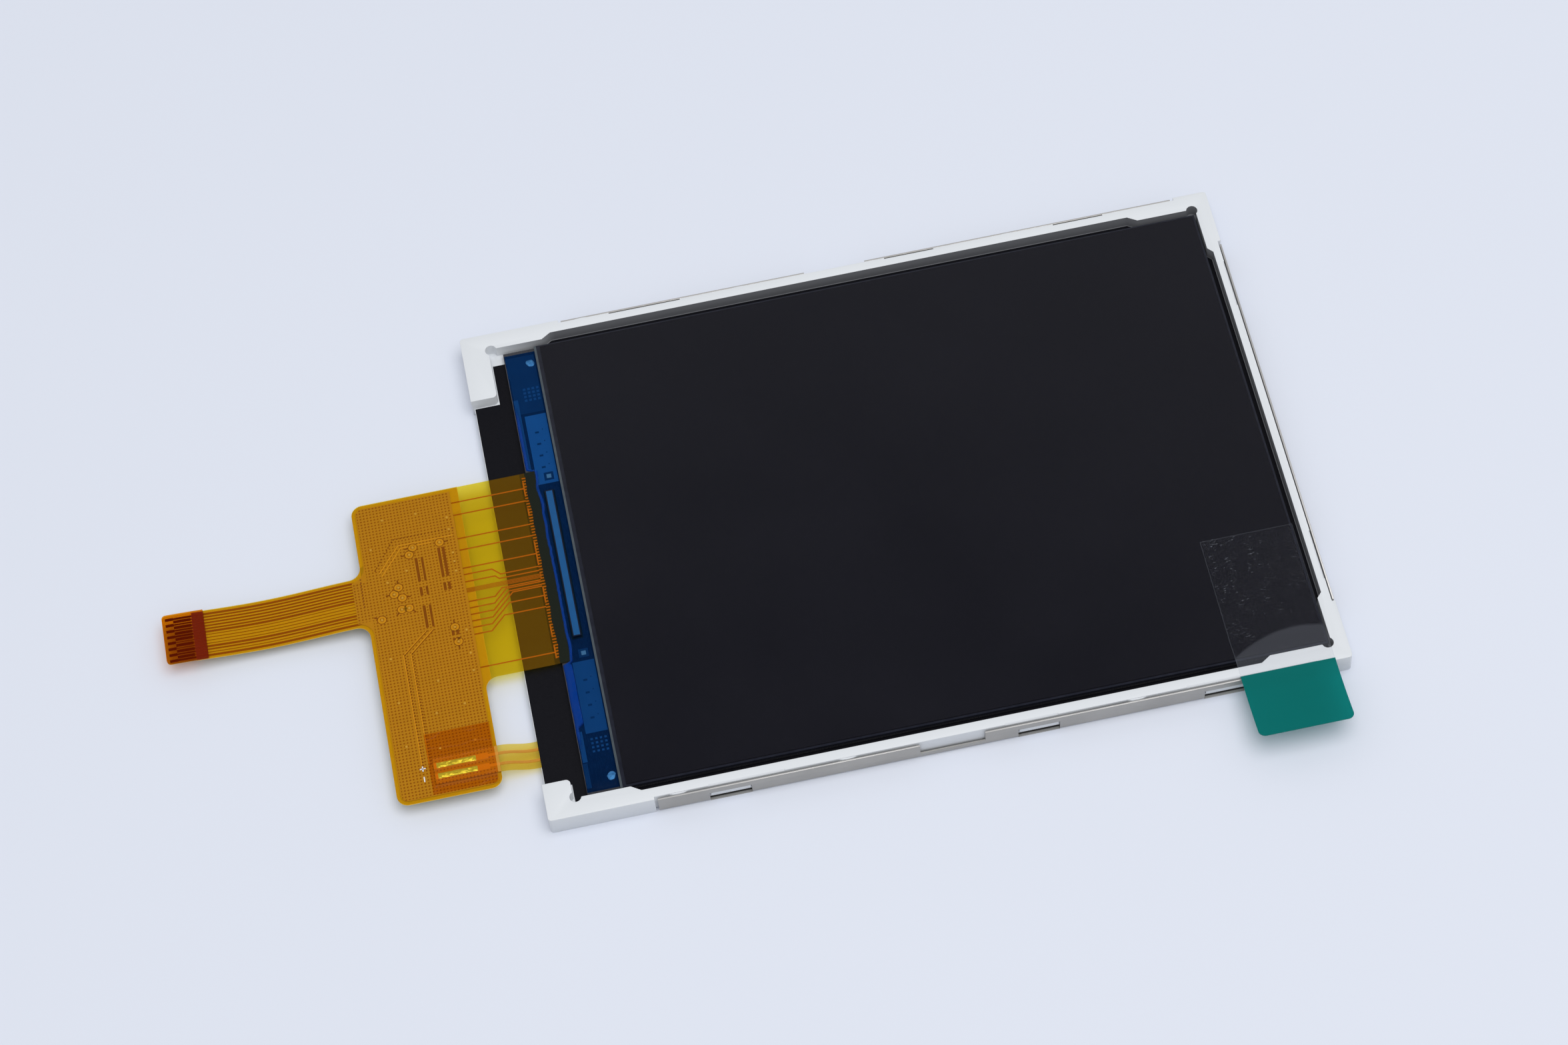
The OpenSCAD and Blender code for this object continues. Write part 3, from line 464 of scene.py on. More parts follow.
# %% [markdown]
# ## Chip, resin and paste
#
# The driver chip is a polished sliver of silicon. The resin poured round it is a
# clear blue: over bare glass it looks almost black, and over the pale metal areas
# it glows. So most of the resin only tints what lies under it. Along its edge it is
# thick enough to show a blue of its own, where its attribute "bead" is 1.

# %% Chip
chip_rim = Vector((0.1, 0.1, 0))
tree, shader = start_finish("chip", (0.02, 0.1, 0.28), 0.2, Specular_IOR_Level=0.25)
haze = effect(tree, "cloud", Size=1.2, Detail=2)
silicon = blend_colours(haze, (0.007, 0.068, 0.20), (0.010, 0.090, 0.255))
low, high = box_mm("driver_chip")
low, high = low + chip_rim, high - chip_rim
face = inside(tree, (low.x, high.x), (low.y, high.y))
paint(shader, face, (0.004, 0.008, 0.022), silicon)

# %% Resin finish
tree, shader = start_finish("resin", (0.006, 0.03, 0.13), 0.1, Specular_IOR_Level=0.25)
cloud = effect(tree, "cloud", Size=0.7, Detail=3)
body = blend_colours(cloud, (0.004, 0.012, 0.055), (0.007, 0.036, 0.15))
attribute = add(tree, "Attribute")
attribute.attribute_name = "bead"
bead = attribute.outputs["Fac"]
paint(shader, bead, body, (0.002, 0.058, 0.34))
add_bump(shader, effect(tree, "cloud", Size=0.35, Detail=3), 0.05)
make_film(shader, (0.40, 0.70, 0.95), spread(bead, 0.06, 0.42))

# %% Bonding film and silver paste
grained_finish("bond_film", (0.010, 0.014, 0.008), (0.004, 0.006, 0.004), roughness=0.3,
               size=0.05, Specular_IOR_Level=0.15)
grained_finish("silver_paste", (0.52, 0.60, 0.68), (0.04, 0.12, 0.22), roughness=0.4,
               size=0.2, relief=0.08, Metallic=0.3)

# %% [markdown]
# ## Flex films
#
# The flex is a sandwich of amber polyimide and copper. Its yellow isn't painted
# on: it is the pale table seen through two films, and where a third film laps over
# them the yellow is deeper. So each film gets a light tint, and the depth builds up
# with every layer, as it does in the real one. A small share of scattering keeps
# the films visible over the black tape, where they look olive.
#
# The renderer follows light through only a few clear faces, and then stops and shows
# black. Under the insulation tape there are more films than that. So there, and on
# the side that is glued down, a film is painted solid in the colour that it shows.

# %% Flex films
film_solidity = 0.04


def flex_film_finish(name, tint):
    tree, shader = grained_finish(
        name, (0.74, 0.40, 0.055), (0.64, 0.31, 0.04), roughness=0.22, size=2.5)
    vary_gloss(shader, effect(tree, "cloud", Size=0.3, Detail=2), 0.16, 0.3)
    make_film(shader, tint, film_solidity)
    return tree, shader


def painted_colour(shader):
    """The output that gives a shader its colour."""
    return shader.inputs["Base Color"].links[0].from_socket


def make_solid_part(shader, mask, colour, solidity):
    """Makes a film nearly solid where the mask is 1."""
    paint(shader, mask, painted_colour(shader), colour)
    mix = shader.outputs[0].links[0].to_node
    feed(mix.inputs["Fac"], spread(mask, film_solidity, solidity))


def under_tape(tree):
    """1 under the insulation tape."""
    low, high = box_mm("insulation_tape")
    return inside(tree, (low.x, high.x), (low.y, high.y))


# %% Base film and rear cover
# The middle film, solid under the insulation tape.
tree, shader = flex_film_finish("polyimide", (0.98, 0.938, 0.50))
make_solid_part(shader, under_tape(tree), (0.60, 0.55, 0.20), 1)

# The rear film, clear in the neck and backed by pale glue below it.
tree, shader = flex_film_finish("back_cover", (0.98, 0.938, 0.50))
glued = before(tree, "Y", box_mm("flex_front_cover")[1].y)
make_solid_part(shader, glued, (0.78, 0.63, 0.25), 0.9)

# %% [markdown]
# ## Copper
#
# The ground copper on the front isn't a plain sheet. It is etched into a fine
# square mesh, so that the flex stays soft, and the film over it sinks a little into
# each opening. Thousands of real holes would make a heavy mesh that nobody sees as
# such. One shared grid of round dimples darkens the copper, dents it round each
# opening and dents the film instead, so that the three always line up. The mesh
# fills the body and runs a little way into the tail.

# %% Mesh in the ground copper
mesh_low, mesh_high = box_mm("flex_front_copper")
tail_low, tail_high = box_mm("tail_stiffener")
mesh_start = -46.45
mesh_margin = Vector((0.1, 0.1))
mesh_inset_in_tail = 0.4
mesh_pitch = 0.3
opening_radius = 0.065


def mesh_area(tree):
    """1 where the front copper is a mesh."""
    start = mesh_start + mesh_margin.y
    low, high = mesh_low.xy + mesh_margin, mesh_high.xy - mesh_margin
    tail_x = (tail_low.x + mesh_inset_in_tail, tail_high.x - mesh_inset_in_tail)
    on_body = inside(tree, (low.x, high.x), (start, high.y))
    in_tail = inside(tree, tail_x, (low.y, start))
    return calculate("MAXIMUM", on_body, in_tail)


def mesh_dimples(tree, radius, blur=0.02):
    """The grid of dimples over the mesh alone."""
    grid = effect(tree, "dimples", Pitch=mesh_pitch, Radius=radius, Blur=blur)
    return product(grid, mesh_area(tree))


# %% Front copper and its cover film
def satin_finish(name, light, dark):
    tree, shader = grained_finish(name, light, dark, roughness=0.5, size=1.6, Metallic=0.2)
    vary_gloss(shader, effect(tree, "cloud", Size=0.06, Detail=2), 0.4, 0.6)
    return tree, shader


tree, shader = satin_finish("front_copper", (0.51, 0.295, 0.096), (0.45, 0.257, 0.085))
openings = mesh_dimples(tree, opening_radius)
paint(shader, openings, painted_colour(shader), (0.26, 0.06, 0.010))
add_bump(shader, invert(mesh_dimples(tree, 0.085, 0.035)), 0.035)

tree, shader = flex_film_finish("cover_film", (0.965, 0.885, 0.5))
add_bump(shader, invert(mesh_dimples(tree, 0.08, 0.05)), 0.05)

# %% [markdown]
# Other metals on the flex and the glass differ from the front copper in colour
# alone, and so do the ink and the painted shadow in the snap windows, so a table
# of shades gives them all their finishes.

# %% Satin finishes
satin_shades = {
    "copper": ((0.44, 0.095, 0.022), (0.36, 0.07, 0.015)),
    "tail_copper": ((0.30, 0.038, 0.012), (0.24, 0.028, 0.01)),
    "bright_copper": ((0.78, 0.46, 0.15), (0.68, 0.39, 0.12)),
    "ring_copper": ((0.64, 0.38, 0.11), (0.56, 0.32, 0.095)),
    "dark_gap": ((0.22, 0.05, 0.02), (0.16, 0.035, 0.015)),
    "dark_metal": ((0.05, 0.048, 0.045), (0.03, 0.028, 0.026)),
    "pale_metal": ((0.31, 0.30, 0.31), (0.26, 0.25, 0.26)),
    "dim_metal": ((0.20, 0.20, 0.21), (0.15, 0.15, 0.16)),
    "grey_metal": ((0.09, 0.09, 0.10), (0.06, 0.06, 0.07)),
    "white_ink": ((0.80, 0.80, 0.80), (0.72, 0.72, 0.73)),
}
for name, shades in satin_shades.items():
    satin_finish(name, *shades)

# %% Plated bumps under the film
grained_finish("film_bump", (0.56, 0.29, 0.014), (0.46, 0.22, 0.01), roughness=0.3,
               size=0.4, detail=2, Specular_IOR_Level=0.3)

# %% [markdown]
# ## The backlight's own flex
#
# A narrow amber strip comes out from under the black tape and carries two copper
# lines to the solder joints. The lines and their pads lie along the middle of the
# joints, so their places come from the joints' boxes. On the flex's body the strip is
# one film too many, so it is painted solid there, and under the tape it is painted
# with the openings of the mesh below.

# %% Places of the joints
joint_boxes = [box_mm("solder_joint_left"), box_mm("solder_joint_right")]
joint_places = [(low.x + high.x) / 2 for low, high in joint_boxes]
print("joints at x =", ", ".join(f"{x:.2f}" for x in joint_places))

# %% Backlight flex
strip_copper = {"line": (0.26, (-40, -30)), "pad": (0.56, (-43.4, -38.6))}
body_top = -37.75

tree, shader = start_finish("backlight_flex", (0.70, 0.36, 0.05), 0.25)
copper = 0
for x in joint_places:
    for width, y_range in strip_copper.values():
        bar = inside(tree, (x - width / 2, x + width / 2), y_range)
        copper = calculate("MAXIMUM", copper, bar)
on_body = before(tree, "Y", body_top)
openings = effect(tree, "dimples", Pitch=mesh_pitch, Radius=opening_radius)
over_mesh = blend_colours(openings, (0.43, 0.18, 0.01), (0.25, 0.075, 0.01))
film = blend_colours(on_body, (0.70, 0.36, 0.05), (0.52, 0.24, 0.02))
film = blend_colours(under_tape(tree), film, over_mesh)
paint(shader, copper, film, (0.60, 0.24, 0.025))
solidity = calculate("MAXIMUM", spread(copper, 0.05, 0.6), on_body)
make_film(shader, (0.966, 0.873, 0.42), solidity)

# %% [markdown]
# ## Stiffener, solder and insulation
#
# The stiffener is a thick brown film. The contacts at the tail's end glow through
# it, so past the end of the rear film it is clearer than over the rest. The solder
# is seen through an amber tape, so its own colour leans to green to come out pale.

# %% Stiffener
tree, shader = grained_finish("stiffener", (0.52, 0.05, 0.006), (0.42, 0.035, 0.004),
                              roughness=0.3, size=1.2)
over_contacts = before(tree, "Y", box_mm("flex_back_cover")[0].y)
make_film(shader, (0.955, 0.60, 0.1), spread(over_contacts, 0.15, 0.04))

# %% Insulation and solder
tree, shader = start_finish("insulation", (0.55, 0.16, 0.01), 0.16)
cloud = effect(tree, "cloud", Size=1.4, Stretch=0.5, Detail=3)
paint(shader, cloud, (0.45, 0.11, 0.005), (0.62, 0.20, 0.012))
make_film(shader, (0.995, 0.87, 0.55), 0.05)

grained_finish("solder", (0.74, 0.98, 0.45), (0.40, 0.56, 0.20), roughness=0.25,
               size=0.25, relief=0.05, Metallic=0.6)

# %% [markdown]
# ## Clear film and green handle
#
# The protective film is nearly invisible where it clings to the screen. The strip
# of the pull tab clings less well: small air streaks show under it, and near the
# rim it lifts off and turns milky. The edge of the lifted part is a shallow arc,
# which is written as a parabola.

# %% Clear film
tree, shader = grained_finish("clear_film", (0.40, 0.43, 0.47), (0.30, 0.33, 0.37),
                              roughness=0.16, size=5, Specular_IOR_Level=0.2)
make_film(shader, (0.99, 0.99, 0.99), 0.005)

# %% Where the pull strip has lifted
arc_middle, arc_curve = 30.6, 0.063
lift_starts, lift_done = 20.75, 21.05


def lifted_part(tree):
    """1 where the pull strip has lifted off, past the arc."""
    x, y = (calculate("DIVIDE", part_of(surface_place(tree), axis), MM)
            for axis in ("X", "Y"))
    from_middle = calculate("SUBTRACT", y, arc_middle)
    past_arc = calculate("SUBTRACT", x, product(from_middle, from_middle, arc_curve))
    return remap(past_arc, lift_starts, lift_done)


# %% Air under the pull strip
def air_streaks(tree):
    """Slanting streaks of air in clusters, which thin out in both directions."""
    place = surface_place(tree)
    width, length = 0.1 * MM, 0.45 * MM
    turned = add(tree, "Mapping", Vector=place, Rotation=(0, 0, math.radians(35)),
                 Scale=(1 / width, 1 / length, 1))
    texture = add(tree, "TexNoise", Vector=turned.outputs[0], Scale=1, Detail=1)
    streaks = remap(texture.outputs["Fac"], 0.6, 0.78)
    clusters = remap(effect(tree, "cloud", Size=1.1, Detail=3), 0.46, 0.66)
    thinning = [remap(part_of(place, axis), start * MM, end * MM, 1, 0.4)
                for axis, start, end in (("X", 16, 20), ("Y", 28, 31.5))]
    return product(streaks, clusters, *thinning)


# %% Pull strip
tree, shader = start_finish("pull_strip", (0.6, 0.64, 0.75), 0.3, Specular_IOR_Level=0.2)
lifted = lifted_part(tree)
air = product(air_streaks(tree), invert(lifted))
low, high = box_mm("pull_strip")
rim = 0.07
middle = inside(tree, (low.x + rim, high.x), (low.y + rim, high.y - rim))
# The strip itself is a trace of haze, and each flaw adds its own share.
solidity = 0.003
for mask, share in ((lifted, 0.027), (air, 0.16), (invert(middle), 0.018)):
    solidity = calculate("ADD", solidity, product(mask, share))
make_film(shader, (0.99, 0.99, 0.99), solidity)

# %% Green handle
tree, shader = grained_finish("green_film", (0.002, 0.177, 0.164), (0.002, 0.167, 0.153),
                              roughness=0.4, size=4, Specular_IOR_Level=0.08)
add_bump(shader, effect(tree, "cloud", Size=0.1, Detail=2), 0.004)
make_film(shader, (0.12, 0.80, 0.76), 0.65)

# %% [markdown]
# ## Every solid gets its finish
#
# The record names a slot for each solid, and most finishes carry the slot's name. A
# few solids in a shared slot have a finish of their own.

# %% Finishes on the solids
slots = {part["node"]: part["material_slot"] for part in frame["record"]["subparts"]}
own_finish = {
    "flex_front_copper": "front_copper", "flex_front_cover": "cover_film",
    "flex_back_cover": "back_cover", "tail_conductors": "tail_copper",
    "backlight_flex": "backlight_flex", "pull_strip": "pull_strip",
}
for name, solid in nodes.items():
    solid.data.materials.clear()
    solid.data.materials.append(finishes[own_finish.get(name, slots[name])])
print("solids with a finish:", len(nodes), "and finishes:", len(finishes))

# %% [markdown]
# ## Rounded copies of solids
#
# Moulded and folded edges are never knife sharp, and the thin line of light along
# a rounded edge is most of what makes a part look real. A solid's mesh is loose
# triangles, so a copy is welded, its flat faces are made whole again and its sharp
# edges are bevelled by a few hundredths of a millimetre. A Bevel modifier on the
# welded copy would look the same. The operator is used because the smooth and sharp
# edges are told apart afterwards, on the finished mesh.

# %% Welding a solid
def welded(name, flat_within=0.5):
    """A welded bmesh of a solid. Faces that are flat within some degrees are made whole."""
    shape = bmesh.new()
    shape.from_mesh(nodes[name].data)
    bmesh.ops.remove_doubles(shape, verts=shape.verts, dist=0.0005 * MM)
    limit = math.radians(flat_within)
    bmesh.ops.dissolve_limit(shape, angle_limit=limit, verts=shape.verts, edges=shape.edges)
    return shape


# %% Making a piece
def finish_piece(shape, name, finish, stands_for=None, smooth=False):
    """Makes a piece from a bmesh, gives it its finish and sets it on the module."""
    mesh = bpy.data.meshes.new(name)
    shape.to_mesh(mesh)
    shape.free()
    mesh.materials.append(finishes[finish])
    mesh.polygons.foreach_set("use_smooth", [smooth] * len(mesh.polygons))
    piece = bpy.data.objects.new(name, mesh)
    bpy.context.scene.collection.objects.link(piece)
    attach(piece, "root")
    if stands_for:
        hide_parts(stands_for)
    print(f"{name}: {len(mesh.polygons)} faces")
    return piece


# %% Rounded copies
def rounded_copy(name, edge):
    """A solid with its sharp edges rounded by some millimetres, standing for the solid."""
    shape = welded(name)
    sharp = [e for e in shape.edges
             if len(e.link_faces) == 2 and e.calc_face_angle(0) > math.radians(30)]
    bmesh.ops.bevel(shape, geom=sharp, offset=edge * MM, offset_type="OFFSET", affect="EDGES",
                    segments=2, profile=0.5, material=-1, clamp_overlap=True)
    piece = finish_piece(shape, name + "_rounded", slots[name], name, smooth=True)
    piece.data.set_sharp_from_angle(angle=math.radians(35))


rounded_copy("moulded_frame", edge=0.05)
rounded_copy("back_shell", edge=0.02)

# %% [markdown]
# ## Films that don't touch
#
# In the model the layers of the flex lie face on face. For a see-through film that
# is a trap: where two faces share a place, the renderer picks one of them at
# random. So each film is a copy drawn in by a few thousandths of a millimetre.

# %% Film copies
film_gap = 0.005


def film_copy(name, smooth=False):
    """A film drawn in from its neighbours on all sides, standing for the solid."""
    shape = welded(name, flat_within=0.02)
    shape.normal_update()
    for vert in shape.verts:
        vert.co -= vert.normal * film_gap * MM
    finish = own_finish.get(name, slots[name])
    film = finish_piece(shape, name + "_film", finish, name, smooth)
    film.data.set_sharp_from_angle(angle=math.radians(35))


for name in ("flex_back_cover", "flex_base", "flex_front_cover"):
    film_copy(name)
for name in ("pull_strip", "pull_handle"):
    film_copy(name, smooth=True)

# %% [markdown]
# ## Small shapes in millimetres
#
# The patterns on the flex and on the glass are made of blocks, bars and rings. Each
# helper adds one to a shape that is being built, so that hundreds of them become a
# single piece.

# %% Blocks and bars
def add_block(shape, low, high):
    """A block between two corners. Returns its corners."""
    low, high = Vector(low), Vector(high)
    made = bmesh.ops.create_cube(shape, size=1)["verts"]
    bmesh.ops.scale(shape, vec=(high - low) * MM, verts=made)
    bmesh.ops.translate(shape, vec=(low + high) / 2 * MM, verts=made)
    return made


def add_patch(shape, x_range, y_range, heights):
    """A low block over a rectangle in plan."""
    add_block(shape, *zip(x_range, y_range, heights))


def add_bar(shape, start, end, width, heights):
    """A straight bar from one place to another, at any angle in plan."""
    start, end = Vector((*start, 0)), Vector((*end, 0))
    run = end - start
    low, high = heights
    made = add_block(shape, (0, -width / 2, low), (run.length, width / 2, high))
    turn = Matrix.Rotation(math.atan2(run.y, run.x), 3, "Z")
    bmesh.ops.rotate(shape, cent=(0, 0, 0), matrix=turn, verts=made)
    bmesh.ops.translate(shape, vec=start * MM, verts=made)


# %% Dots and rings
def add_dots(shape, start, end, size, heights):
    """A row of small square dots at the mesh's pitch."""
    start, end = Vector(start), Vector(end)
    count = int((end - start).length / mesh_pitch)
    for i in range(count + 1):
        x, y = start.lerp(end, i / count)
        add_patch(shape, (x - size / 2, x + size / 2), (y - size / 2, y + size / 2), heights)


def add_ring(shape, centre, radius, width, heights):
    """A flat ring: a small rectangle spun once about the ring's middle."""
    x, y = centre
    low, high = heights
    profile = ((radius, low), (radius + width, low), (radius + width, high), (radius, high))
    corners = [shape.verts.new(Vector((x + r, y, z)) * MM) for r, z in profile]
    edges = [shape.edges.new((corners[i - 1], corners[i])) for i in range(4)]
    bmesh.ops.spin(shape, geom=corners + edges, cent=Vector((x, y, 0)) * MM, axis=(0, 0, 1),
                   angle=math.tau, steps=20, use_merge=True)


# %% [markdown]
# ## Lines, rings and bumps on the flex
#
# Between the front copper and its cover film lies what the maker etched and drilled:
# pairs of dark gaps where lines cross under the ground copper, a bright pair of
# lines to the backlight's pads, rings round the plated holes, and rows of dots.
# Masks in the copper's finish could draw them, but slanted bars, rings and slits are
# simpler to build as pieces. They are a few thousandths of a millimetre high and are
# seen through the film.

# %% Heights and widths of the pattern
cover_thickness = 0.025
flex_top = box_mm("insulation_tape")[0].z
copper_top = flex_top - cover_thickness
etched = (copper_top + 0.0005, copper_top + 0.003)
line_width, gap_width = 0.06, 0.07
dot_size, wide_dot_size = 0.13, 0.14
print("copper at", round(copper_top, 3), "mm, film at", round(flex_top, 3), "mm")

# %% Dark gaps
crossings = (
    (((-3.5, -1.05), (-0.45, 0.4), (1.45, 3.7)), ((-41.95, -41.7), (-41.4, -41.2))),
    (((-4.1, -1.05), (-0.45, 0.35), (4.5, 5.0), (5.3, 5.5)), ((-39.85, -39.6), (-39.45, -39.2))),
)

shape = bmesh.new()
for runs, rows in crossings:
    for run in runs:
        for row in rows:
            add_patch(shape, run, row, etched)
for start, end in ((-41.9, -44.15), (-41.3, -43.5)):
    add_bar(shape, (4, start), (6, end), gap_width, etched)
    add_dots(shape, (6, end), (17, end), wide_dot_size, etched)
for start, end in (
    ((-5.8, -38.2), (-5.8, -43.5)), ((-5.6, -43.7), (-3, -45.5)), ((0.4, -46.9), (-2.4, -46.9)),
):
    add_dots(shape, start, end, dot_size, etched)
finish_piece(shape, "etched_gaps", "dark_gap")

# %% Bright lines
shape = bmesh.new()
for route in (
    ((4, -42.02), (6, -44.27), (17, -44.27)),
    ((4, -41.45), (6, -43.64), (17, -43.64)),
    ((-5.1, -38.3), (-5.1, -43.2), (-2.6, -45.2)),
    ((-4.8, -40.3), (-4.8, -43.0), (-2.3, -45.0)),
):
    for start, end in zip(route, route[1:]):
        add_bar(shape, start, end, line_width, etched)
finish_piece(shape, "etched_lines", "bright_copper")

# %% [markdown]
# ## Shade in the snap windows
#
# The frame's hooks snap into windows in the steel walls. Under each hook a narrow
# slot stays open. Its back lies in shadow, and along its front runs the cut edge of
# the fold. Two thin strips in each window show this: a dark one, which is painted
# shadow, and a bright one of steel. Slots cut into the frame's mesh would look the
# same, but strips are simpler. The side windows' places are measured from the flex
# end of the module.

# %% Window slots
side_windows, side_window_length = (15.5, 42.05, 58.2), 3.6
end_windows, end_window_length = (-14.6, 14.6), 4.9
strip_base = 0.005


def make_window_strip(name, finish, depths, top):
    """Strips in all windows, between two depths behind the wall's outer face."""
    low, high = box_mm("moulded_frame")
    heights = (strip_base, top)
    front, back = depths
    shape = bmesh.new()
    for place in side_windows:
        middle = low.y + place
        y_range = (middle - side_window_length / 2, middle + side_window_length / 2)
        add_patch(shape, (high.x - back, high.x - front), y_range, heights)
        add_patch(shape, (low.x + front, low.x + back), y_range, heights)
    for middle in end_windows:
        x_range = (middle - end_window_length / 2, middle + end_window_length / 2)
        add_patch(shape, x_range, (high.y - back, high.y - front), heights)
    finish_piece(shape, name, finish)


# The dark strip is painted shadow at the back of each slot, and the bright one is steel.
make_window_strip("window_shade", "dark_metal", depths=(0.26, 0.7), top=0.05)
make_window_strip("window_fold", "steel", depths=(0.03, 0.25), top=0.08)

# %% [markdown]
# ## Rings and bumps
#
# Each ring has a plated hole in its middle and a slit that runs out of it like the
# point of a drop. The other plated holes show as small bumps under the film. Every
# ring has its own place and its own angle, so both are listed. A bump is a flattened
# ball, which needs only a few dozen faces.

# %% Rings
ring_slit_angles = {
    (-4.6, -41.95): -90, (-3.95, -42.35): -90, (-4.6, -39.55): 90, (-0.85, -43.75): 180,
    (-0.25, -44.2): -90, (0.25, -43.55): 90, (1.4, -43.75): -45, (1.4, -43.1): 45,
    (2.05, -45.6): -120, (4.2, -39.5): 180, (5.7, -39.4): 0,
}
rings, slits = bmesh.new(), bmesh.new()
for place, angle in ring_slit_angles.items():
    add_ring(rings, place, radius=0.2, width=0.16, heights=etched)
    add_ring(slits, place, radius=0.38, width=0.06, heights=etched)
    way = Vector((math.cos(math.radians(angle)), math.sin(math.radians(angle))))
    add_bar(slits, Vector(place) + way * 0.4, Vector(place) + way * 0.75, 0.13, etched)
for shape, name, finish in (
    (rings, "hole_rings", "ring_copper"), (slits, "ring_slits", "dark_gap"),
):
    bmesh.ops.recalc_face_normals(shape, faces=shape.faces)
    finish_piece(shape, name, finish)

# %% Plated bumps
bump_places = (
    (-8, -44.2), (-8, -41.2), (-7, -38.55), (-5.75, -38.55), (-5.2, -45.6), (-3.3, -38.55),
    (-2.4, -38.55), (-1.4, -38.55), (-2.4, -42.8), (-1.55, -44.6), (4.7, -38.55), (6.1, -45.4),
    (7.05, -38.55), (8.8, -38.55), (9.15, -41.7), (10.55, -45.35), (11.85, -39.8),
    (12.25, -42.3), (14.9, -45.3), (15.55, -39.45), (15.7, -42.5),
)
shape = bmesh.new()
for x, y in (*bump_places, *ring_slit_angles):
    made = bmesh.ops.create_icosphere(shape, subdivisions=2, radius=0.125 * MM)["verts"]
    bmesh.ops.scale(shape, vec=(1, 1, 0.3), verts=made)
    bmesh.ops.translate(shape, vec=Vector((x, y, flex_top - 0.004)) * MM, verts=made)
finish_piece(shape, "plated_bumps", "film_bump", smooth=True)

# %% [markdown]
# ## Polarity marks
#
# A plus and a minus in white ink stand below the two solder joints. The ink lies on
# the cover film, and sinks a little into it so that no gap shows under it. Two bars
# and one bar are all that they need, so no text object is called for.

# %% Polarity marks
shape = bmesh.new()
ink = (flex_top - 0.002, flex_top + 0.004)
y, size, width = -44.25, 0.5, 0.1
for x, upright in zip(joint_places, (True, False)):
    add_bar(shape, (x - size / 2, y), (x + size / 2, y), width, ink)
    if upright:
        add_bar(shape, (x, y - size / 2), (x, y + size / 2), width, ink)
finish_piece(shape, "polarity_marks", "white_ink")

# %% [markdown]
# ## Solder joints
#
# Solder under tape isn't smooth: it was pressed while it set, so it has flats and
# creases that catch the light. It could be sculpted, but noise gives the same look
# in a few lines. Each joint is a fine grid with a rounded section, roughened by noise
# and left without smooth shading, then extruded down to its pad.

# %% Grids and undersides
def plan_grid(shape, low, high, cells):
    """A flat grid over a box's plan, with so many cells each way. Returns its corners."""
    columns, rows = cells
    made = bmesh.ops.create_grid(shape, x_segments=columns, y_segments=rows, size=0.5)["verts"]
    size, middle = high - low, (low + high) / 2
    bmesh.ops.scale(shape, vec=(size.x * MM, size.y * MM, 1), verts=made)
    bmesh.ops.translate(shape, vec=(middle.x * MM, middle.y * MM, 0), verts=made)
    return made


def close_below(shape, height):
    """Turns a sheet into a solid with a flat underside at a height."""
    result = bmesh.ops.extrude_face_region(shape, geom=shape.faces[:])
    for vert in (part for part in result["geom"] if isinstance(part, bmesh.types.BMVert)):
        vert.co.z = height * MM
    bmesh.ops.recalc_face_normals(shape, faces=shape.faces)


def from_centre(value, low, high):
    """-1 at low, 0 halfway and 1 at high."""
    return 2 * (value - low) / (high - low) - 1


# %% Solder joints
def make_joint(name):
    low, high = box_mm(name)
    side_top = high.z - 0.12
    shape = bmesh.new()
    for vert in plan_grid(shape, low, high, cells=(10, 44)):
        across = from_centre(vert.co.x / MM, low.x, high.x)
        along = from_centre(vert.co.y / MM, low.y, high.y)
        dome = (1 - across ** 4) * (1 - along ** 8)
        crease = noise.noise(Vector((vert.co.x, vert.co.y * 0.6, 0)) / (0.22 * MM))
        vert.co.z = (side_top + dome * (0.07 + 0.05 * crease)) * MM
    close_below(shape, low.z + 0.03)
    finish_piece(shape, name + "_creased", "solder", name)


make_joint("solder_joint_left")
make_joint("solder_joint_right")

# %% [markdown]
# ## Insulation tape
#
# The amber tape is draped over the joints, the end of the backlight's flex and the
# body below. Its height at any place is the height of what is under it, with soft
# ramps instead of steps, and a few wrinkles. Cloth simulation could drape it too,
# but on steps a tenth of a millimetre high a formula is steadier.

# %% Soft ramps
def ramp(place, low, high, width):
    """1 over a box's plan, falling smoothly to 0 within a width outside it."""
    outside = max(low.x - place.x, place.x - high.x, low.y - place.y, place.y - high.y, 0) / width
    fall = min(outside, 1)
    return 1 - fall * fall * (3 - 2 * fall)


# %% Insulation tape
tape_thickness = 0.012
low, high = box_mm("insulation_tape")
strip_top = box_mm("backlight_flex")[1].z
strip_low = Vector((min(joint_places) - 0.75, min(box[0].y for box in joint_boxes) - 0.25))
strip_high = Vector((max(joint_places) + 0.75, high.y + 1))
joint_height = joint_boxes[0][1].z - strip_top
shape = bmesh.new()
for vert in plan_grid(shape, low, high, cells=(110, 110)):
    place = vert.co / MM
    height = low.z + (strip_top - low.z) * ramp(place, strip_low, strip_high, 0.35)
    height += joint_height * max(ramp(place, *box, 0.2) for box in joint_boxes)
    fold = noise.noise(Vector((place.x * 0.9, place.y * 0.35, 3)))
    crease = max(0, 1 - abs(fold) * 9) * 0.035
    swell = 0.02 * max(0, noise.noise(place * 0.6))
    vert.co.z = (height + crease + swell + 2 * tape_thickness) * MM
bmesh.ops.solidify(shape, geom=shape.faces[:], thickness=tape_thickness * MM)
bmesh.ops.recalc_face_normals(shape, faces=shape.faces)
finish_piece(shape, "insulation_tape_draped", "insulation", "insulation_tape",
             smooth=True)

# %% [markdown]
# ## Metal on the contact ledge
#
# The lower glass carries thin metal areas that the resin turns blue: two blocks with
# rows of small dark test pads, narrow bands along the edge of the glass, the square
# alignment marks at the chip's ends and two fields of dots. They come in three
# shades, and each shade is one piece. They could be painted on the glass, but blocks
# a few thousandths of a millimetre high are simpler, and the resin over them tints
# them all alike.

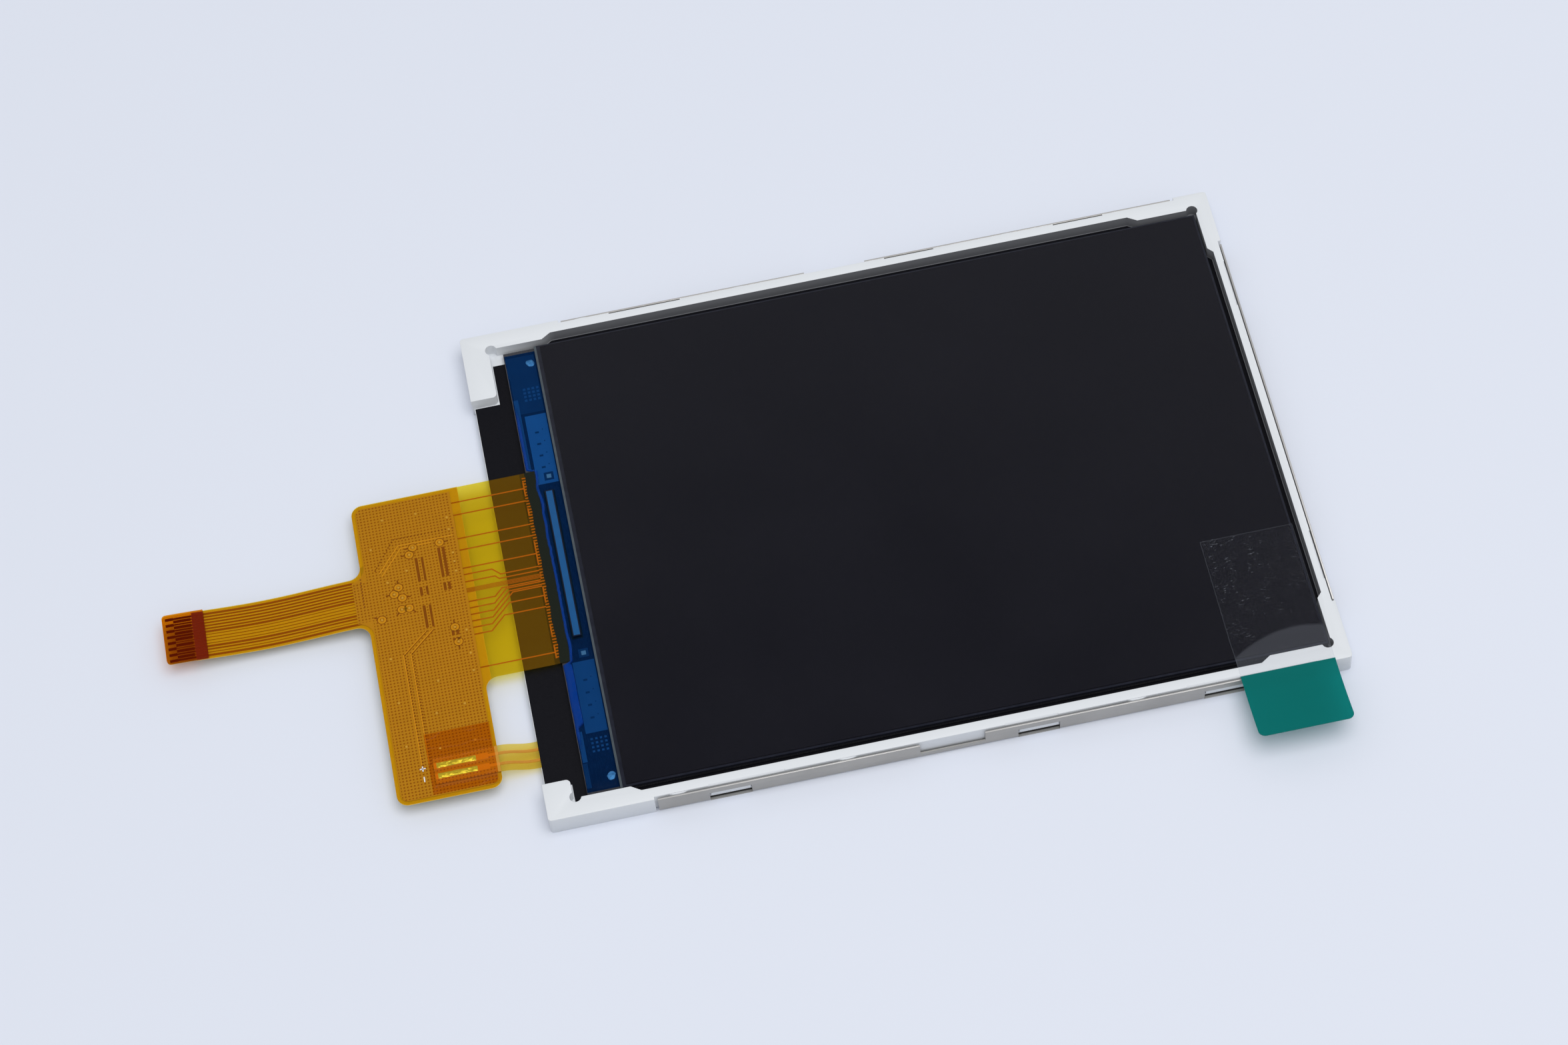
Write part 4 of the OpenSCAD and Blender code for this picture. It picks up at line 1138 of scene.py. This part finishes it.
# %% Ledge pattern
glass_top = box_mm("sealing_resin")[0].z
ledge_metal = (glass_top + 0.001, glass_top + 0.004)
pale, dim, dark = bmesh.new(), bmesh.new(), bmesh.new()
low, high = ledge_metal
on_metal = (high + 0.001, high + 0.003)
add_patch(dark, (-22.4, -16.2), (-30.8, -28.3), (low - 0.0005, low))
for block, x_range in ((pale, (-15.9, -8.5)), (dim, (10.0, 17.1))):
    add_patch(block, x_range, (-30.15, -28.25), ledge_metal)
    for i in range(4):
        x = x_range[0] + 1.9 + i * 1.25
        add_patch(dark, (x - 0.1, x + 0.1), (-29.5, -29.15), on_metal)
        add_patch(dark, (x - 0.3, x - 0.2), (-28.85, -28.75), on_metal)
for x_range in ((-17.8, -10.2), (16.8, 19.8)):
    add_patch(dim, x_range, (-30.85, -30.45), ledge_metal)
for x in (-9.23, 9.23):
    add_patch(dark, (x - 0.42, x + 0.42), (-29.45, -28.6), on_metal)
    add_patch(pale, (x - 0.2, x + 0.2), (-29.22, -28.82), (on_metal[1], on_metal[1] + 0.002))
for x0, size in ((17.6, 0.2), (-18.9, 0.24)):
    for i in range(16):
        x, y = x0 + i % 4 * 0.4, -29.85 + i // 4 * 0.4
        add_patch(dim, (x, x + size), (y, y + size), ledge_metal)
for x_range in ((-22.3, -20.2), (19.9, 22.3)):
    add_patch(dark, x_range, (-30.9, -30.5), ledge_metal)
finish_piece(pale, "ledge_metal_pale", "pale_metal")
finish_piece(dim, "ledge_metal_dim", "dim_metal")
finish_piece(dark, "ledge_metal_dark", "grey_metal")

# %% [markdown]
# ## Silver paste
#
# Two drops of silver paste earth the upper glass. They were dabbed on by hand, so
# no drop is round: a ball is pressed flat, its outline is pushed in and out by
# noise, and its underside is levelled.

# %% Silver paste
paste_height = 0.13


def make_paste_drop(name):
    low, high = box_mm(name)
    middle = (low + high) / 2
    radius = (high.x - low.x) / 2
    shape = bmesh.new()
    made = bmesh.ops.create_icosphere(shape, subdivisions=4, radius=1)["verts"]
    for vert in made:
        flat = Vector((vert.co.x, vert.co.y, 0))
        reach = 0.75 + 0.35 * noise.noise(flat * 0.8 + Vector((low.x, 0, 0)))
        lump = 0.75 + 0.35 * noise.noise(flat * 1.6 + Vector((0, low.x, 0)))
        vert.co = Vector((*(flat.xy * reach * radius), max(vert.co.z, 0) * lump * paste_height))
    bmesh.ops.translate(shape, vec=(middle.x, middle.y, low.z + 0.002), verts=made)
    bmesh.ops.scale(shape, vec=(MM, MM, MM), verts=made)
    finish_piece(shape, name + "_dabbed", "silver_paste", name, smooth=True)


make_paste_drop("silver_dot_left")
make_paste_drop("silver_dot_right")

# %% [markdown]
# ## Lacquer over the bond
#
# Where the flex is bonded to the glass, a dark green lacquer covers the fingers. Its
# edge was brushed on and wanders, so that the tips of the fingers still show. A flat
# grid is stretched between a straight edge and one that noise moves in and out: a
# slow wave for the hand and a fast one for the bristles.

# %% Lacquer
bond_low, bond_high = box_mm("flex_bond_film")
shape = bmesh.new()
for vert in plan_grid(shape, bond_low, bond_high, cells=(240, 8)):
    x, y = vert.co.x / MM, vert.co.y / MM
    share = (y - bond_low.y) / (bond_high.y - bond_low.y)
    slow_wave = 0.14 * noise.noise(Vector((x * 0.45, 11, 0)))
    fast_wave = 0.05 * noise.noise(Vector((x * 2.3, 5, 0)))
    edge = bond_low.y - 0.12 + slow_wave + fast_wave
    vert.co.y = (edge + (bond_high.y - edge) * share) * MM
    vert.co.z = (copper_top + 0.006) * MM
close_below(shape, copper_top - 0.002)
finish_piece(shape, "bond_lacquer", "bond_film")

# %% [markdown]
# ## Resin
#
# The resin was drawn along the ledge by hand, so its lower edge wanders and its
# height swells and sinks. Across the flex it starts only at the flex's end. A fluid
# simulation could pour it, but nothing would hold its edge in this place. So a grid
# is laid between the two edges, its heights are set by a rounded section with slow
# noise, and it is extruded down to the glass. Each corner of the grid also carries
# a number, the bead, which is 1 at the edge where the resin is thickest and most
# blue, and fades out towards the ledge's ends. The finish reads it.

# %% Edge of the resin
resin_low, resin_high = box_mm("sealing_resin")


def ramp_along(x, start, end, width):
    """1 from start to end along a line, falling smoothly to 0 within a width outside."""
    return ramp(Vector((x, 0)), Vector((start, -1)), Vector((end, 1)), width)


def resin_edge(x):
    """Where the resin starts at a place along the ledge, in millimetres."""
    over_flex = ramp_along(x, bond_low.x, bond_high.x, 0.25)
    beside, on_flex = resin_low.y + 0.06, bond_high.y - 0.1
    slow_wave = 0.22 * noise.noise(Vector((x * 0.55, 7, 0)))
    fast_wave = 0.07 * noise.noise(Vector((x * 2.1, 3, 0)))
    wave = (slow_wave + fast_wave) * (0.15 + 0.6 * over_flex)
    return beside + (on_flex - beside) * over_flex + wave


# %% Resin
least_height = 0.012
low, high = resin_low, resin_high
shape = bmesh.new()
bead = shape.verts.layers.float.new("bead")
for vert in plan_grid(shape, low, high, cells=(360, 24)):
    x, y = vert.co.x / MM, vert.co.y / MM
    share = (y - low.y) / (high.y - low.y)
    edge = resin_edge(x)
    y = edge + (high.y - edge) * share
    across, along = 2 * share - 1, from_centre(x, low.x, high.x)
    section = math.sqrt(max(0, 1 - across ** 8)) * math.sqrt(max(0, 1 - along ** 60))
    swell = 0.72 + 0.28 * noise.noise(Vector((x * 0.5, y * 0.9, 1)))
    bead_width = 0.25 + 0.45 * ramp_along(x, 10.3, 16, 0.5)
    bead_share = ramp_along(x, -15, 16.6, 2.5)
    vert[bead] = ramp_along(y - edge, 0, bead_width, 0.12) * bead_share
    vert.co.y = y * MM
    thickness = least_height + (high.z - low.z - least_height) * section * swell
    vert.co.z = (low.z + thickness) * MM
close_below(shape, low.z + 0.008)
finish_piece(shape, "sealing_resin_poured", "resin", "sealing_resin", smooth=True)

# %% [markdown]
# ## Table and light
#
# The table is pale and matt. Half of the light is a plain sky, which keeps every
# shadow faint, and half is a soft lamp overhead. In a studio, a black card hangs
# where a glossy black face would mirror the light. The dark patch of this sky, round
# one fixed direction, does the same, and its soft edge gives the screen a gradient.
# Near the horizon the sky is dimmer, so that the walls are darker than the faces.

# %% Table
shape = bmesh.new()
bmesh.ops.create_grid(shape, x_segments=1, y_segments=1, size=3)
mesh = bpy.data.meshes.new("table")
shape.to_mesh(mesh)
shape.free()
grained_finish("table", (0.705, 0.74, 0.83), (0.695, 0.73, 0.82), roughness=0.6,
               size=60, Specular_IOR_Level=0.15)
mesh.materials.append(finishes["table"])
table = bpy.data.objects.new("table", mesh)
bpy.context.scene.collection.objects.link(table)

# %% Sky
sky_strength, card_strength = 0.61, 0.02
card_direction = (-0.402, 0.05, 0.914)
card_fades, card_full = 0.981, 0.996  # cosines of the angle from the card's middle
world = bpy.data.worlds.new("sky")
world.use_nodes = True
tree = world.node_tree
direction = add(tree, "TexCoord").outputs["Generated"]
towards_card = add(tree, "VectorMath")
towards_card.operation = "DOT_PRODUCT"
feed(towards_card.inputs[0], direction)
feed(towards_card.inputs[1], card_direction)
cosine = towards_card.outputs["Value"]
card = remap(cosine, card_fades, card_full, sky_strength, card_strength)
haze = remap(part_of(direction, "Z"), 0, 0.5, 0.45, 1)
feed_all(tree.nodes["Background"],
         {"Color": (0.98, 0.99, 1.0, 1), "Strength": product(card, haze)})
bpy.context.scene.world = world
print("sky strength", sky_strength, "and", card_strength, "towards the dark card")

# %% Lamp
lamp_data = bpy.data.lights.new("overhead_lamp", "AREA")
lamp_data.shape = "DISK"
lamp_data.size = 0.9
lamp_data.energy = 5.2
lamp = bpy.data.objects.new("overhead_lamp", lamp_data)
lamp.location = (0.15, 0.12, 0.9)
lamp.rotation_euler = (-lamp.location).to_track_quat("-Z", "Y").to_euler()
bpy.context.scene.collection.objects.link(lamp)
print("lamp", round(lamp.location.length, 2), "m away")
